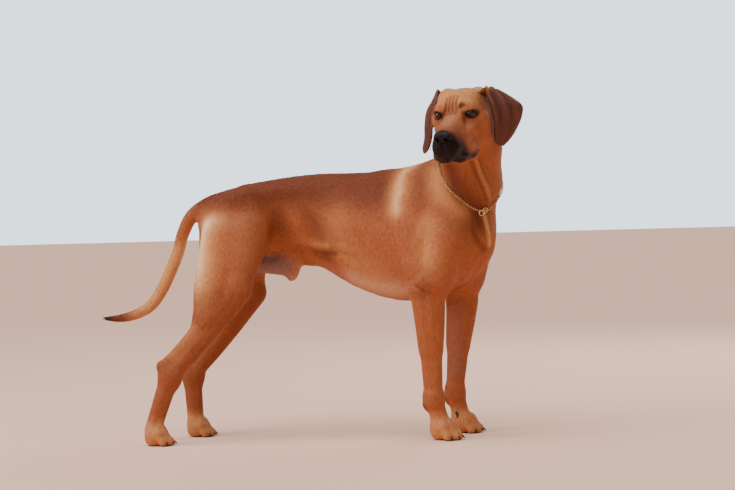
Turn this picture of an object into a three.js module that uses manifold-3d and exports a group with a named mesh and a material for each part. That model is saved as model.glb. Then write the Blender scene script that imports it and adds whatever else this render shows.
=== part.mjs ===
// A young male Rhodesian Ridgeback, life size, standing with its forequarters bent round and its
// head turned over its right shoulder. Millimetres, +X the way the dog walks, +Y its left, +Z up.
// The flesh is one smooth form, built up from muscles and bones and then parted by thin cuts.
// Each part is a skin of rings cast outward from a line that runs down the inside of that part.
import * as THREE from 'three';
import { mergeVertices } from 'three/addons/utils/BufferGeometryUtils.js';
import Module from 'manifold-3d';

const wasm = await Module();
wasm.setup();

// ---------------------------------------------------------------- driving dimensions
const GAP = 0.35;                       // clear space at a cut
const STAND = { x: 8.5, y: 190.5 };     // from the middle of the footprint to the body's own zero
const HEAD_AT = [342, -330, 751];       // midway between the eyes
const HEAD_SIZE = 1.07;                 // the head's lengths are drawn at 1 and grown by this
const HEAD_TURN = { yaw: 19.3, nod: 17.3, tip: 0.7 };
// The spine runs straight, then round a bend, then straight again, all in plan.
const SPINE = { from: -220, to: 280, side: -65, startTurn: -14, endTurn: 28 };
const ELBOW_CUT = 372;                  // height at which the forelegs are parted from the chest
const BRISKET = { half: 50, low: 318, room: 160 }; // between the elbows the chest hangs lower, and is narrower
const WRIST_CUT = 132;
const FOOT_CUT = 58;
const PAW = { fore: 1.0, hind: 0.92 };

const COLOURS = {
  sheath: '#a08676',
  coat: '#a9612f', back: '#8f4d27', leg: '#b8743c', ear: '#4a2a22', nose: '#1b1819',
  eye: '#21130d', claw: '#1d1714', chain: '#c8a25a',
};

// ---------------------------------------------------------------- vectors
const rad = THREE.MathUtils.degToRad;
const add = (a, b, s = 1) => [a[0] + b[0] * s, a[1] + b[1] * s, a[2] + b[2] * s];
const sub = (a, b) => [a[0] - b[0], a[1] - b[1], a[2] - b[2]];
const dot = (a, b) => a[0] * b[0] + a[1] * b[1] + a[2] * b[2];
const cross = (a, b) => [a[1] * b[2] - a[2] * b[1], a[2] * b[0] - a[0] * b[2], a[0] * b[1] - a[1] * b[0]];
const unit = (a) => { const l = Math.hypot(...a); return [a[0] / l, a[1] / l, a[2] / l]; };
const mix = (a, b, t) => [a[0] + (b[0] - a[0]) * t, a[1] + (b[1] - a[1]) * t, a[2] + (b[2] - a[2]) * t];
const clamp01 = (t) => Math.min(1, Math.max(0, t));

// ---------------------------------------------------------------- smooth forms
// Every form is a signed distance: negative inside, positive outside.
function blend(a, b, k) {
  const h = clamp01(0.5 + 0.5 * (b - a) / k);
  return b + (a - b) * h - k * h * (1 - h);
}
const hollow = (a, b, k) => -blend(-a, -b, k);

// A tapered rod with round ends. flat < 1 narrows it along the axis, flat > 1 widens it,
// and belly swells it midway.
function rod(p, a, b, ra, rb, { belly = 0, flat = 1, axis = null } = {}) {
  const ab = sub(b, a);
  const h = clamp01(dot(sub(p, a), ab) / dot(ab, ab));
  let q = sub(p, add(a, ab, h));
  let scale = 1;
  if (axis) {
    q = add(q, axis, dot(q, axis) * (1 / flat - 1));
    scale = flat < 1 ? 0.5 + 0.5 * flat : 1;
  }
  return (Math.hypot(...q) - ra - (rb - ra) * h - belly * 4 * h * (1 - h)) * scale;
}

// An egg with its own radius along each axis.
function egg(p, c, r) {
  const q = sub(p, c);
  const k0 = Math.hypot(q[0] / r[0], q[1] / r[1], q[2] / r[2]);
  const k1 = Math.hypot(q[0] / r[0] ** 2, q[1] / r[1] ** 2, q[2] / r[2] ** 2) + 1e-9;
  return k0 * (k0 - 1) / k1;
}
const ball = (p, c, r) => Math.hypot(...sub(p, c)) - r;
const mirrored = (p) => [p[0], Math.abs(p[1]), p[2]];

// ---------------------------------------------------------------- the bent body frame
const T0 = rad(SPINE.startTurn);
const T1 = rad(SPINE.endTurn);
const CURVE = (T1 - T0) / (SPINE.to - SPINE.from);
const PIVOT = [SPINE.from - Math.sin(T0) / CURVE, SPINE.side - Math.cos(T0) / CURVE];

// Body measures (along the spine, left of it, height) to the model's own X, Y, Z.
function bend(x, y, z) {
  const s = Math.min(SPINE.to, Math.max(SPINE.from, x));
  const t = T0 + CURVE * (s - SPINE.from);
  const r = 1 / CURVE + y;
  const past = x - s;
  return [PIVOT[0] + Math.sin(t) * r + Math.cos(t) * past,
    PIVOT[1] + Math.cos(t) * r - Math.sin(t) * past, z];
}
function unbend(p) {
  const d = [p[0] - PIVOT[0], p[1] - PIVOT[1]];
  const t = Math.atan2(d[0], d[1]);
  const end = Math.min(T1, Math.max(T0, t));
  const sin = Math.sin(end);
  const cos = Math.cos(end);
  if (end === t) return [SPINE.from + (t - T0) / CURVE, Math.hypot(...d) - 1 / CURVE, p[2]];
  return [SPINE.from + (end - T0) / CURVE + d[0] * cos - d[1] * sin,
    d[0] * sin + d[1] * cos - 1 / CURVE, p[2]];
}
function spineWay(x) {
  const t = T0 + CURVE * (Math.min(SPINE.to, Math.max(SPINE.from, x)) - SPINE.from);
  return [Math.cos(t), -Math.sin(t), 0];
}

// ---------------------------------------------------------------- the head frame
const HEAD_AXES = (() => {
  const [yaw, nod, tip] = [HEAD_TURN.yaw, HEAD_TURN.nod, HEAD_TURN.tip].map(rad);
  const level = [-Math.sin(yaw), -Math.cos(yaw), 0];
  const side = [Math.cos(yaw), -Math.sin(yaw), 0];
  const up = [0, 0, 1];
  const fore = add(level.map((v) => v * Math.cos(nod)), up, -Math.sin(nod));
  const crown = add(up.map((v) => v * Math.cos(nod)), level, Math.sin(nod));
  return [fore, add(side.map((v) => v * Math.cos(tip)), crown, Math.sin(tip)),
    add(crown.map((v) => v * Math.cos(tip)), side, -Math.sin(tip))];
})();
const fromHead = (q) => q.reduce((p, v, i) => add(p, HEAD_AXES[i], v * HEAD_SIZE), HEAD_AT);
const headWay = (q) => q.reduce((p, v, i) => add(p, HEAD_AXES[i], v), [0, 0, 0]);
const toHead = (p) => HEAD_AXES.map((axis) => dot(sub(p, HEAD_AT), axis) / HEAD_SIZE);

// ---------------------------------------------------------------- trunk
// Rib cage and loin: along the spine, height of the middle, half height, half width.
const BARREL = [
  [-205, 520, 64, 57], [-130, 523, 87, 70], [-50, 531, 94, 73], [30, 528, 104, 83], [100, 509, 122, 95],
  [170, 486, 143, 102], [240, 476, 156, 101], [300, 478, 149, 90], [360, 471, 109, 78],
];
function barrel(b) {
  let d = Infinity;
  for (let i = 1; i < BARREL.length; i += 1) {
    const [x0, z0, tall0, wide0] = BARREL[i - 1];
    const [x1, z1, tall1, wide1] = BARREL[i];
    const along = [x1 - x0, 0, z1 - z0];
    const h = clamp01(dot(sub(b, [x0, 0, z0]), along) / dot(along, along));
    const q = sub(b, add([x0, 0, z0], along, h));
    const tall = tall0 + (tall1 - tall0) * h;
    const wide = wide0 + (wide1 - wide0) * h;
    const r = Math.hypot(q[0], q[1] * tall / wide, q[2]);
    d = Math.min(d, (r - tall) * (0.5 + 0.5 * wide / tall));
  }
  return d;
}
const SIDEWAYS = [0, 1, 0];
const UP = [0, 0, 1];
function trunk(p) {
  const b = unbend(p);
  const m = mirrored(b);
  let d = barrel(b);
  d = blend(d, rod(m, [-140, 30, 580], [200, 32, 599], 28, 30), 18);              // loin muscles
  d = blend(d, rod(m, [190, 10, 599], [315, 12, 617], 26, 26), 25);               // withers
  d = blend(d, rod(m, [285, 48, 595], [378, 78, 475], 32, 42, { belly: 4, flat: 0.7, axis: SIDEWAYS }), 26);
  d = blend(d, rod(m, [278, 68, 540], [318, 88, 368], 38, 32, { belly: 10, flat: 0.7, axis: SIDEWAYS }), 18);
  d = blend(d, rod(m, [392, 78, 470], [362, 86, 374], 40, 39), 22);               // upper arm
  d = blend(d, egg(b, [395, 0, 462], [36, 46, 56]), 30);                          // breastbone
  d = blend(d, rod(m, [395, 30, 440], [350, 56, 372], 35, 32), 18);               // breast muscles
  d = blend(d, egg(m, [-168, 42, 556], [62, 34, 42]), 25);                        // croup
  const belly = Math.min(rod(b, [-50, 0, 432], [40, 0, 427], 22, 21),
    Math.min(rod(b, [40, 0, 427], [120, 0, 388], 21, 20), rod(b, [120, 0, 388], [200, 0, 362], 20, 18)));
  return blend(d, belly, 20);
}
function sheath(p) {
  const b = unbend(p);
  return blend(rod(b, [-135, 0, 420], [-45, 0, 405], 24, 22), egg(b, [-46, 0, 390], [16, 13, 18]), 10);
}

// ---------------------------------------------------------------- legs
const HIND = {
  right: { hip: bend(-184, -58, 490), seat: bend(-246, -45, 500), knee: [-174, -158, 366], ham: [-246, -158, 304],
    hock: [-333, -170, 163], heel: [-352, -172, 184], knuckle: [-375, -176, 32], heading: -12 },
  left: { hip: bend(-176, 58, 490), seat: bend(-240, 45, 500), knee: [-145, 20, 364], ham: [-232, 20, 304],
    hock: [-293, 4, 154], heel: [-323, 4, 174], knuckle: [-291, -2, 32], heading: -8 },
};
const FORE = {
  right: { elbow: [274, -222, 338], point: [250, -224, 346], wrist: [282, -208, 100],
    knuckle: [298, -203, 34], heading: -32 },
  left: { elbow: [360, -80, 338], point: [334, -82, 345], wrist: [338, -68, 100],
    knuckle: [352, -64, 34], heading: -18 },
};
const THIGH_AXIS = unit([0.2, 1, 0]);
const ARM_AXIS = unit([0.3, 1, 0]);

function hindLeg(p, leg) {
  const { hip, seat, knee, ham, hock, heel, knuckle } = leg;
  const slab = (flat, belly = 0) => ({ belly, flat, axis: THIGH_AXIS });
  const calf = add(mix(knee, heel, 0.58), [8, 0, 0]);
  let d = rod(p, add(hip, [35, 0, 10]), add(knee, [-4, 0, 6]), 48, 34, slab(0.78, 6));
  d = blend(d, rod(p, add(seat, [26, 0, -20]), ham, 41, 30, slab(0.82, 8)), 30);
  d = blend(d, rod(p, add(hip, [-10, 0, -20]), add(knee, [-48, 0, -20]), 56, 38, slab(0.72)), 30);
  d = blend(d, egg(p, add(seat, [22, 0, -20]), [32, 30, 42]), 30);
  d = blend(d, rod(p, add(knee, [4, 0, -10]), hock, 31, 20.5, slab(0.85, 4)), 25);   // shin
  d = blend(d, rod(p, add(knee, [-44, 0, -32]), calf, 34, 14, slab(0.72, 5)), 20);
  d = blend(d, rod(p, add(mix(knee, heel, 0.5), [-6, 0, 0]), add(heel, [-2, 0, 4]), 12, 9.5), 10);
  d = blend(d, rod(p, add(hock, [4, 0, -4]), heel, 22, 13.5), 10);
  d = blend(d, egg(p, add(hock, [4, 0, -8]), [23, 20, 27]), 10);
  return blend(d, rod(p, add(hock, [-2, 0, -10]), add(knuckle, [0, 0, 12]), 23, 20.5,
    { flat: 0.82, axis: SIDEWAYS }), 12);
}

function foreLeg(p, leg) {
  const { elbow, point, wrist, knuckle } = leg;
  const slab = (flat, belly = 0) => ({ belly, flat, axis: ARM_AXIS });
  let d = rod(p, add(elbow, [0, 0, 10]), wrist, 33, 23, slab(0.8));
  d = blend(d, rod(p, add(elbow, [4, 0, -20]), mix(elbow, wrist, 0.5), 31, 24, slab(0.8, 2)), 20);
  d = blend(d, rod(p, point, add(point, [12, 0, -60]), 15, 11), 20);
  d = blend(d, egg(p, add(wrist, [0, 0, -2]), [23.5, 20.5, 26]), 12);
  d = blend(d, rod(p, add(wrist, [-18, 0, -18]), add(wrist, [-16, 0, -24]), 9, 8), 10);   // stopper pad
  return blend(d, rod(p, wrist, knuckle, 22, 22, slab(0.92)), 12);
}

// Toes: how far out to the side and how far forward of the knuckle each tip lies.
const TOES = [[-24, 30], [-9, 42], [9, 42], [24, 30]];
function footFrame(leg, size) {
  const turn = rad(leg.heading);
  const way = [Math.cos(turn), Math.sin(turn), 0];
  const side = [-Math.sin(turn), Math.cos(turn), 0];
  const root = [leg.knuckle[0], leg.knuckle[1], 0];
  const at = (a, b, z) => add(add(add(root, way, a * size), side, b * size), [0, 0, 1], z * size);
  return { way, side, root, at, size };
}
function paw(p, { at, way, side, root, size }) {
  const local = (q) => { const o = sub(q, root); return [dot(o, way), dot(o, side), o[2]]; };
  let d = rod(p, at(-1, -9, 26), at(-1, 9, 26), 20 * size, 20 * size);
  d = blend(d, egg(local(p), [4 * size, 0, 14 * size], [26 * size, 28 * size, 17 * size]), 10);
  for (const [out, reach] of TOES) {
    const joint = at(reach * 0.55, out * 0.85, 30);
    d = blend(d, rod(p, at(0, out * 0.5, 26), joint, 15 * size, 12.5 * size), 8);
    d = blend(d, rod(p, joint, at(reach, out, 10), 12.2 * size, 10.8 * size), 5);
  }
  return d;
}

// ---------------------------------------------------------------- tail, neck, head
// Tail bones: X, Y, Z and radius, from the rump to the tip.
const TAIL = [
  [-190, -62, 570, 26], [-238, -58, 562, 21], [-282, -47, 536, 17.5], [-307, -30, 493, 16.2],
  [-321, -18, 450, 16], [-343, -8, 400, 16], [-368, 0, 353, 15.8], [-394, 0, 320, 15],
  [-427, 0, 301, 13.5], [-462, 0, 292.5, 11], [-490, 0, 291.5, 7.5], [-514, 0, 293, 2.8],
];
function tail(p) {
  let d = Infinity;
  for (let i = 1; i < TAIL.length; i += 1) {
    const next = rod(p, TAIL[i - 1].slice(0, 3), TAIL[i].slice(0, 3), TAIL[i - 1][3], TAIL[i][3]);
    d = i === 1 ? next : blend(d, next, 8);
  }
  return d;
}

const NECK = [[351, -165, 535, 86], [379, -189, 605, 74], [388, -212, 675, 64], [382, -235, 735, 56]];
function neck(p) {
  let d = Infinity;
  for (let i = 1; i < NECK.length; i += 1) {
    const next = rod(p, NECK[i - 1].slice(0, 3), NECK[i].slice(0, 3), NECK[i - 1][3], NECK[i][3]);
    d = i === 1 ? next : blend(d, next, 20);
  }
  d = blend(d, rod(p, bend(285, 0, 588), [372, -188, 660], 36, 34), 30);               // crest
  for (const s of [-1, 1]) {
    d = blend(d, rod(p, bend(400, 12 * s, 485), fromHead([-62, 38 * s, -62]), 19, 22, { belly: 4 }), 12);
  }
  return blend(d, rod(p, bend(385, 0, 540), fromHead([-48, 0, -64]), 30, 28), 20);     // windpipe
}

const EYE = { at: [-8, 35, -1], radius: 12.6 };
const LIDS = { at: [5, 38.5, -1], radii: [9, 12.5, 7.5], turn: 22 };
const NOSE = { at: [98, 0, -22], radii: [13, 20.5, 14.5] };
function muzzle(q, m) {
  let d = rod(q, [4, 0, -14], [90, 0, -21], 19, 14.5, { flat: 1.55, axis: SIDEWAYS });
  d = blend(d, rod(m, [0, 22, -38], [84, 13, -44], 21, 17), 16);
  let lip = blend(rod(m, [88, 10, -56], [56, 17, -67], 14, 17), rod(m, [56, 17, -67], [24, 23, -66], 17, 15), 14);
  lip = blend(lip, rod(m, [24, 23, -66], [4, 30, -62], 15, 12), 14);
  return blend(d, lip, 18);
}
function headForm(q) {
  const m = mirrored(q);
  let d = blend(egg(q, [-70, 0, -8], [60, 55, 46]), egg(q, [-38, 0, 4], [37, 49, 35]), 16);
  d = blend(d, egg(m, [-12, 27, 11], [17, 19, 14]), 14);                               // brow
  d = blend(d, rod(m, [-44, 32, 27], [-80, 36, 24], 16, 14), 12);                      // ear roots
  const cheekbone = blend(rod(m, [4, 35, -26], [-30, 47, -17], 10, 12),
    rod(m, [-30, 47, -17], [-78, 47, -8], 12, 15), 8);
  d = blend(d, cheekbone, 18);
  d = blend(d, egg(m, [-50, 38, -40], [36, 21, 34]), 22);                              // cheek
  d = blend(d, muzzle(q, m), 18);
  let jaw = blend(rod(q, [86, 0, -71], [40, 0, -74], 10.5, 14), rod(q, [40, 0, -74], [-10, 0, -72], 14, 20), 8);
  jaw = blend(jaw, rod(m, [58, 11, -70], [-46, 35, -56], 12, 22), 10);
  d = blend(d, jaw, 7);
  d = blend(d, egg(q, [-56, 0, -56], [46, 37, 32]), 20);                               // throat
  d = blend(d, egg(q, [92, 0, -49], [12, 19, 19]), 10);                                // upper lip
  d = hollow(d, -ball(m, [19, 36, -8], 8), 16);                                        // eye corner
  return blend(d, ball(m, EYE.at, 13.6), 9);                                           // lids
}
const head = (p) => headForm(toHead(p)) * HEAD_SIZE;
const headAndNeck = (p) => blend(neck(p), head(p), 30);

// ---------------------------------------------------------------- whole forms, for the cuts to share
const hindForm = (p) => blend(blend(trunk(p), hindLeg(p, HIND.right), 30), hindLeg(p, HIND.left), 30);
const foreForm = (p) => blend(blend(trunk(p), foreLeg(p, FORE.right), 22), foreLeg(p, FORE.left), 22);
const chestForm = (p) => blend(foreForm(p), headAndNeck(p), 35);
const rumpForm = (p) => blend(hindForm(p), tail(p), 18);

// Walls that part one piece from the next: what stays lies where way . p is below reach.
const wall = (point, way) => ({ way: unit(way), reach: dot(point, unit(way)) - GAP / 2 });
const flip = ({ way, reach }) => ({ way: way.map((v) => -v), reach: -reach - GAP });
const MIDLINE_REAR = wall(bend(-200, 0, 0), bend(-200, 1, 0).map((v, i) => v - bend(-200, 0, 0)[i]));
const ACROSS_CHEST = unit(sub(bend(340, 1, 0), bend(340, 0, 0)));
const FLANK = bend(-88, 0, 416);
const TAIL_SET = bend(-282, 0, 540);
const HIP_WAY = unit(cross(sub(TAIL_SET, FLANK), MIDLINE_REAR.way));
const HIP_CUT = wall(FLANK, HIP_WAY[2] > 0 ? HIP_WAY.map((v) => -v) : HIP_WAY);
const BRISKET_WALL = wall([0, 0, BRISKET.low], [0, 0, -1]);

// ---------------------------------------------------------------- casting a skin
const STEPS = 60;
function castOut(form, from, way, walls) {
  let far = Infinity;
  for (const w of walls) {
    const slope = dot(w.way, way);
    if (slope > 1e-6) far = Math.min(far, (w.reach - dot(w.way, from)) / slope);
  }
  let r = 0;
  for (let i = 0; i < STEPS && r < far; i += 1) {
    const d = form(add(from, way, r));
    if (d > -0.02) break;
    r += Math.max(-d * 0.9, 0.05);
  }
  return Math.max(0.5, Math.min(r, far));
}

// A smooth line through key stations, each a point and the way its ring faces.
function stations(keys, count) {
  const curve = new THREE.CatmullRomCurve3(keys.map((k) => new THREE.Vector3(...k.at)));
  return Array.from({ length: count }, (_, i) => {
    const t = i / (count - 1);
    const along = t * (keys.length - 1);
    const k = Math.min(keys.length - 2, Math.floor(along));
    return { at: curve.getPoint(t).toArray(), way: unit(mix(keys[k].way, keys[k + 1].way, along - k)) };
  });
}

// Rings of cast points, closed by a flat or a round end.
function skin(form, rings, sides, { walls = [], round = false, ahead = SIDEWAYS } = {}) {
  const points = [];
  const list = [...rings];
  const [first, end] = [rings[0], rings[rings.length - 1]];
  const bounds = [...walls, { way: first.way.map((v) => -v), reach: -dot(first.way, first.at) }];
  if (!round) bounds.push({ way: end.way, reach: dot(end.way, end.at) });
  if (round) {
    const reach = castOut(form, end.at, end.way, bounds);
    for (const part of [0.45, 0.75, 0.93]) list.push({ at: add(end.at, end.way, reach * part), way: end.way });
    points.pole = add(end.at, end.way, reach);
  }
  for (const ring of list) {
    const across = unit(cross(ahead, ring.way));
    const up = cross(ring.way, across);
    for (let s = 0; s < sides; s += 1) {
      const a = 2 * Math.PI * s / sides;
      const way = add(across.map((v) => v * Math.cos(a)), up, Math.sin(a));
      points.push(add(ring.at, way, castOut(form, ring.at, way, bounds)));
    }
  }
  const faces = [];
  for (let r = 1; r < list.length; r += 1) {
    for (let s = 0; s < sides; s += 1) {
      const a = (r - 1) * sides + s;
      const b = (r - 1) * sides + (s + 1) % sides;
      faces.push([a, b, b + sides], [a, b + sides, a + sides]);
    }
  }
  const foot = points.length;
  points.push(list[0].at, points.pole ?? list[list.length - 1].at);
  const top = (list.length - 1) * sides;
  for (let s = 0; s < sides; s += 1) {
    faces.push([foot, (s + 1) % sides, s], [foot + 1, top + s, top + (s + 1) % sides]);
  }
  return meshOf(points, faces);
}

function meshOf(points, faces) {
  const geometry = new THREE.BufferGeometry();
  geometry.setAttribute('position', new THREE.Float32BufferAttribute(points.flat(), 3));
  geometry.setIndex(faces.flat());
  return geometry;
}

// ---------------------------------------------------------------- joining and cutting
function solid(geometry) {
  const bare = geometry.clone();
  bare.deleteAttribute('normal');
  bare.deleteAttribute('uv');
  const merged = mergeVertices(bare, 1e-4);
  return new wasm.Manifold(new wasm.Mesh({
    numProp: 3, vertProperties: new Float32Array(merged.attributes.position.array),
    triVerts: new Uint32Array(merged.index.array),
  }));
}
function cut(geometry, ...tools) {
  const left = tools.reduce((body, tool) => body.subtract(solid(tool)), solid(geometry));
  const { vertProperties, triVerts } = left.getMesh();
  const result = new THREE.BufferGeometry();
  result.setAttribute('position', new THREE.BufferAttribute(vertProperties, 3));
  result.setIndex(new THREE.BufferAttribute(triVerts, 1));
  return result;
}

// ---------------------------------------------------------------- the model
const dog = new THREE.Group();
dog.position.set(STAND.x, STAND.y, 0);
const FINISH = { chain: [0.35, 1], nose: [0.35, 0], eye: [0.1, 0], claw: [0.5, 0] };
function piece(name, geometry, look) {
  const [roughness, metalness] = FINISH[look] ?? [0.75, 0];
  const material = new THREE.MeshStandardMaterial({ color: COLOURS[look], roughness, metalness });
  const mesh = new THREE.Mesh(geometry, material);
  mesh.name = name;
  dog.add(mesh);
}

// Trunk: chest, loin and rump, parted square to the spine.
const LOIN_AT = 90;
const RUMP_AT = -72;
const NECK_CUT = { at: [354, -176, 566], way: unit([0.583, -0.310, 0.75]) };
const NAPE_CUT = { at: fromHead([-78, 0, -49]), way: headWay(unit([0.63, 0, 0.77])) };
const TAIL_CUT = { at: TAIL[1].slice(0, 3), way: unit(sub(TAIL[2].slice(0, 3), TAIL[0].slice(0, 3))) };
const nudge = (station, by) => ({ at: add(station.at, station.way, by), way: station.way });
const acrossSpine = (x, z) => ({ at: bend(x, 0, z), way: spineWay(x) });
const facingBack = (s) => ({ at: s.at, way: s.way.map((v) => -v) });

function trunkParts() {
  const loin = acrossSpine(LOIN_AT, 506);
  const rump = acrossSpine(RUMP_AT, 518);
  const tilt = (x, z, t) => ({ at: bend(x, 0, z), way: unit(mix(spineWay(x), NECK_CUT.way, t)) });
  const chest = [nudge(loin, GAP), tilt(170, 494, 0.25), tilt(245, 498, 0.55), tilt(305, 525, 0.85), NECK_CUT];
  const whole = skin(chestForm, stations(chest, 12), 26, { walls: [BRISKET_WALL], ahead: UP });
  piece('chest', cut(whole, legRoom(1), legRoom(-1)), 'coat');
  const middle = stations([rump, acrossSpine(10, 515), loin], 6);
  piece('loin', skin(rumpForm, middle, 24, { walls: [HIP_CUT], ahead: UP }), 'back');
  const rear = (x, z, t) => ({ at: bend(x, 0, z), way: unit(mix(spineWay(x).map((v) => -v), TAIL_CUT.way, t)) });
  const back = stations([nudge(facingBack(rump), GAP), rear(-130, 528, 0.15), rear(-190, 548, 0.6), TAIL_CUT], 8);
  piece('rump', skin(rumpForm, back, 24, { walls: [HIP_CUT], ahead: UP }), 'back');
  const below = [[-58, 401], [-90, 409], [-122, 415]].map(([x, z]) => facingBack(acrossSpine(x, z)));
  const swollen = (p) => rumpForm(p) - 2 * GAP;
  const belly = [skin(swollen, middle, 24, { ahead: UP }), skin(swollen, back, 24, { ahead: UP })];
  piece('sheath', cut(sheathSkin(below), ...belly), 'sheath');
}
// The sheath hangs under the belly: a blunt bag, lofted back from its tip.
function sheathSkin(below) {
  const rings = stations([...below].reverse().map((s) => ({ at: s.at, way: s.way.map((v) => -v) })), 5);
  return skin(sheath, rings, 12, { round: true, walls: [HIP_CUT], ahead: UP });
}

// The block of space under the shoulder, outside the brisket, that a foreleg fills.
function legRoom(s) {
  const { half, room } = BRISKET;
  const box = new THREE.BoxGeometry(room, room, room);
  const middle = add(bend(340, 0, ELBOW_CUT - room / 2), ACROSS_CHEST, s * (half + room / 2));
  const [x, y, z] = [cross(ACROSS_CHEST, UP), ACROSS_CHEST, UP].map((axis) => new THREE.Vector3(...axis));
  return box.applyMatrix4(new THREE.Matrix4().makeBasis(x, y, z).setPosition(...middle));
}

// Neck in one piece, from the chest to the nape.
function neckPart() {
  const mid = [[374, -196, 625, 0.33], [383, -215, 680, 0.66]];
  const keys = [nudge(NECK_CUT, GAP),
    ...mid.map(([x, y, z, t]) => ({ at: [x, y, z], way: unit(mix(NECK_CUT.way, NAPE_CUT.way, t)) })), NAPE_CUT];
  piece('neck', skin(chestForm, stations(keys, 9), 24, { ahead: cross(NECK_CUT.way, NAPE_CUT.way) }), 'coat');
}

// Head, with the nose, eyes and ears let into it.
function headKeys() {
  const key = (x, z, t) => ({ at: fromHead([x, 0, z]), way: unit(mix(NAPE_CUT.way, headWay([1, 0, 0]), t)) });
  return [nudge(NAPE_CUT, GAP), key(-52, -36, 0.5), key(-22, -30, 1), key(10, -42, 1), key(45, -46, 1), key(84, -54, 1)];
}
function headParts() {
  const cast = { round: true, ahead: headWay(SIDEWAYS) };
  const bare = skin(headAndNeck, stations(headKeys(), 17), 26, cast);
  const sockets = [-1, 1].flatMap((s) => [eyeball(s, EYE.radius + GAP), lidOpening(s)]);
  piece('head', cut(bare, noseTip(GAP), ...sockets), 'coat');
  piece('nose', noseTip(0), 'nose');
  piece('eye_right', eyeball(-1, EYE.radius), 'eye');
  piece('eye_left', eyeball(1, EYE.radius), 'eye');
  const outline = skin((p) => headAndNeck(p) - 1.2, stations(headKeys(), 17), 26, cast);
  piece('ear_right', cut(earFlap(EAR.right, -1), outline), 'ear');
  piece('ear_left', cut(earFlap(EAR.left, 1), outline), 'ear');
}
function setInHead(geometry, at) {
  const [x, y, z] = HEAD_AXES.map((axis) => new THREE.Vector3(...axis));
  return geometry.applyMatrix4(new THREE.Matrix4().makeBasis(x, y, z).setPosition(...fromHead(at)));
}
function noseTip(grow) {
  const egg = new THREE.SphereGeometry(1, 12, 8).scale(...NOSE.radii.map((r) => r * HEAD_SIZE + grow));
  return setInHead(egg, NOSE.at);
}
function eyeball(s, radius) {
  return setInHead(new THREE.SphereGeometry(radius * HEAD_SIZE, 10, 7), [EYE.at[0], s * EYE.at[1], EYE.at[2]]);
}
function lidOpening(s) {
  const [x, y, z] = LIDS.at;
  const lens = new THREE.SphereGeometry(1, 10, 6).scale(...LIDS.radii.map((r) => r * HEAD_SIZE));
  return setInHead(lens.rotateZ(s * rad(LIDS.turn)), [x, s * y, z]);
}

// Ears: rows from root to tip, each the front edge, the back edge and the swell between them,
// in the head's own frame on its left. The right ear hangs, the left one is blown out.
const EAR = {
  left: [
    [[-46, 40, 30], [-88, 46, 12], 0], [[-50, 58, 43], [-92, 70, 27], 3], [[-46, 60, 28], [-94, 92, 14], 6],
    [[-42, 67, 6], [-88, 124, -9], 7], [[-40, 71, -28], [-86, 122, -34], 6], [[-44, 68, -55], [-78, 109, -60], 5],
    [[-50, 66, -75], [-72, 94, -80], 3], [[-56, 71, -88], [-62, 81, -91], 1],
  ],
  right: [
    [[-46, 36, 32], [-88, 42, 14], 0], [[-47, 46, 42], [-92, 54, 28], 3], [[-40, 56, 24], [-96, 66, 12], 6],
    [[-33, 59, -4], [-93, 88, -14], 8], [[-30, 65, -34], [-88, 96, -42], 7], [[-32, 71, -62], [-76, 96, -68], 5],
    [[-38, 79, -84], [-62, 101, -87], 3], [[-45, 92, -96], [-52, 97, -96], 1],
  ],
};
const FLAP = { rows: 10, across: 5, thick: 4.2, edge: 2.4 };
function earFlap(rows, side) {
  const curve = (k) => new THREE.CatmullRomCurve3(rows.map((r) => new THREE.Vector3(...r[k])));
  const swell = new THREE.CatmullRomCurve3(rows.map((r) => new THREE.Vector3(r[2], 0, 0)));
  const [front, back] = [curve(0), curve(1)];
  const rings = [];
  for (let i = 0; i < FLAP.rows; i += 1) {
    const t = i / (FLAP.rows - 1);
    const [a, b] = [front.getPoint(t).toArray(), back.getPoint(t).toArray()];
    const down = unit(sub(mix(front.getPoint(Math.min(1, t + 0.02)).toArray(),
      back.getPoint(Math.min(1, t + 0.02)).toArray(), 0.5), mix(front.getPoint(Math.max(0, t - 0.02)).toArray(),
      back.getPoint(Math.max(0, t - 0.02)).toArray(), 0.5)));
    const face = unit(cross(sub(b, a), down));
    const out = face[1] < 0 ? face.map((v) => -v) : face;
    const sheet = (sign) => Array.from({ length: FLAP.across + 1 }, (_, j) => {
      const u = j / FLAP.across;
      const bulge = 4 * u * (1 - u);
      const half = (FLAP.edge + (FLAP.thick - FLAP.edge) * bulge) / 2;
      return add(mix(a, b, u), out, bulge * swell.getPoint(t).x + sign * half);
    });
    rings.push([...sheet(1), ...sheet(-1).reverse()]);
  }
  return loft(rings.map((ring) => ring.map(([x, y, z]) => fromHead([x, y * side, z]))));
}

// Rings of points of equal count, closed by a fan at each end, made to face outwards.
function loft(rings) {
  const sides = rings[0].length;
  const faces = [];
  for (let r = 1; r < rings.length; r += 1) {
    for (let s = 0; s < sides; s += 1) {
      const [a, b] = [(r - 1) * sides + s, (r - 1) * sides + (s + 1) % sides];
      faces.push([a, b, b + sides], [a, b + sides, a + sides]);
    }
  }
  const middle = (ring) => ring.reduce((m, p) => add(m, p, 1 / ring.length), [0, 0, 0]);
  const points = [...rings.flat(), middle(rings[0]), middle(rings[rings.length - 1])];
  const foot = rings.length * sides;
  for (let s = 0; s < sides; s += 1) {
    faces.push([foot, (s + 1) % sides, s], [foot + 1, foot - sides + s, foot - sides + (s + 1) % sides]);
  }
  const volume = faces.reduce((v, [a, b, c]) => v + dot(points[a], cross(points[b], points[c])), 0);
  return meshOf(points, volume < 0 ? faces.map((f) => f.reverse()) : faces);
}

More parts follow.
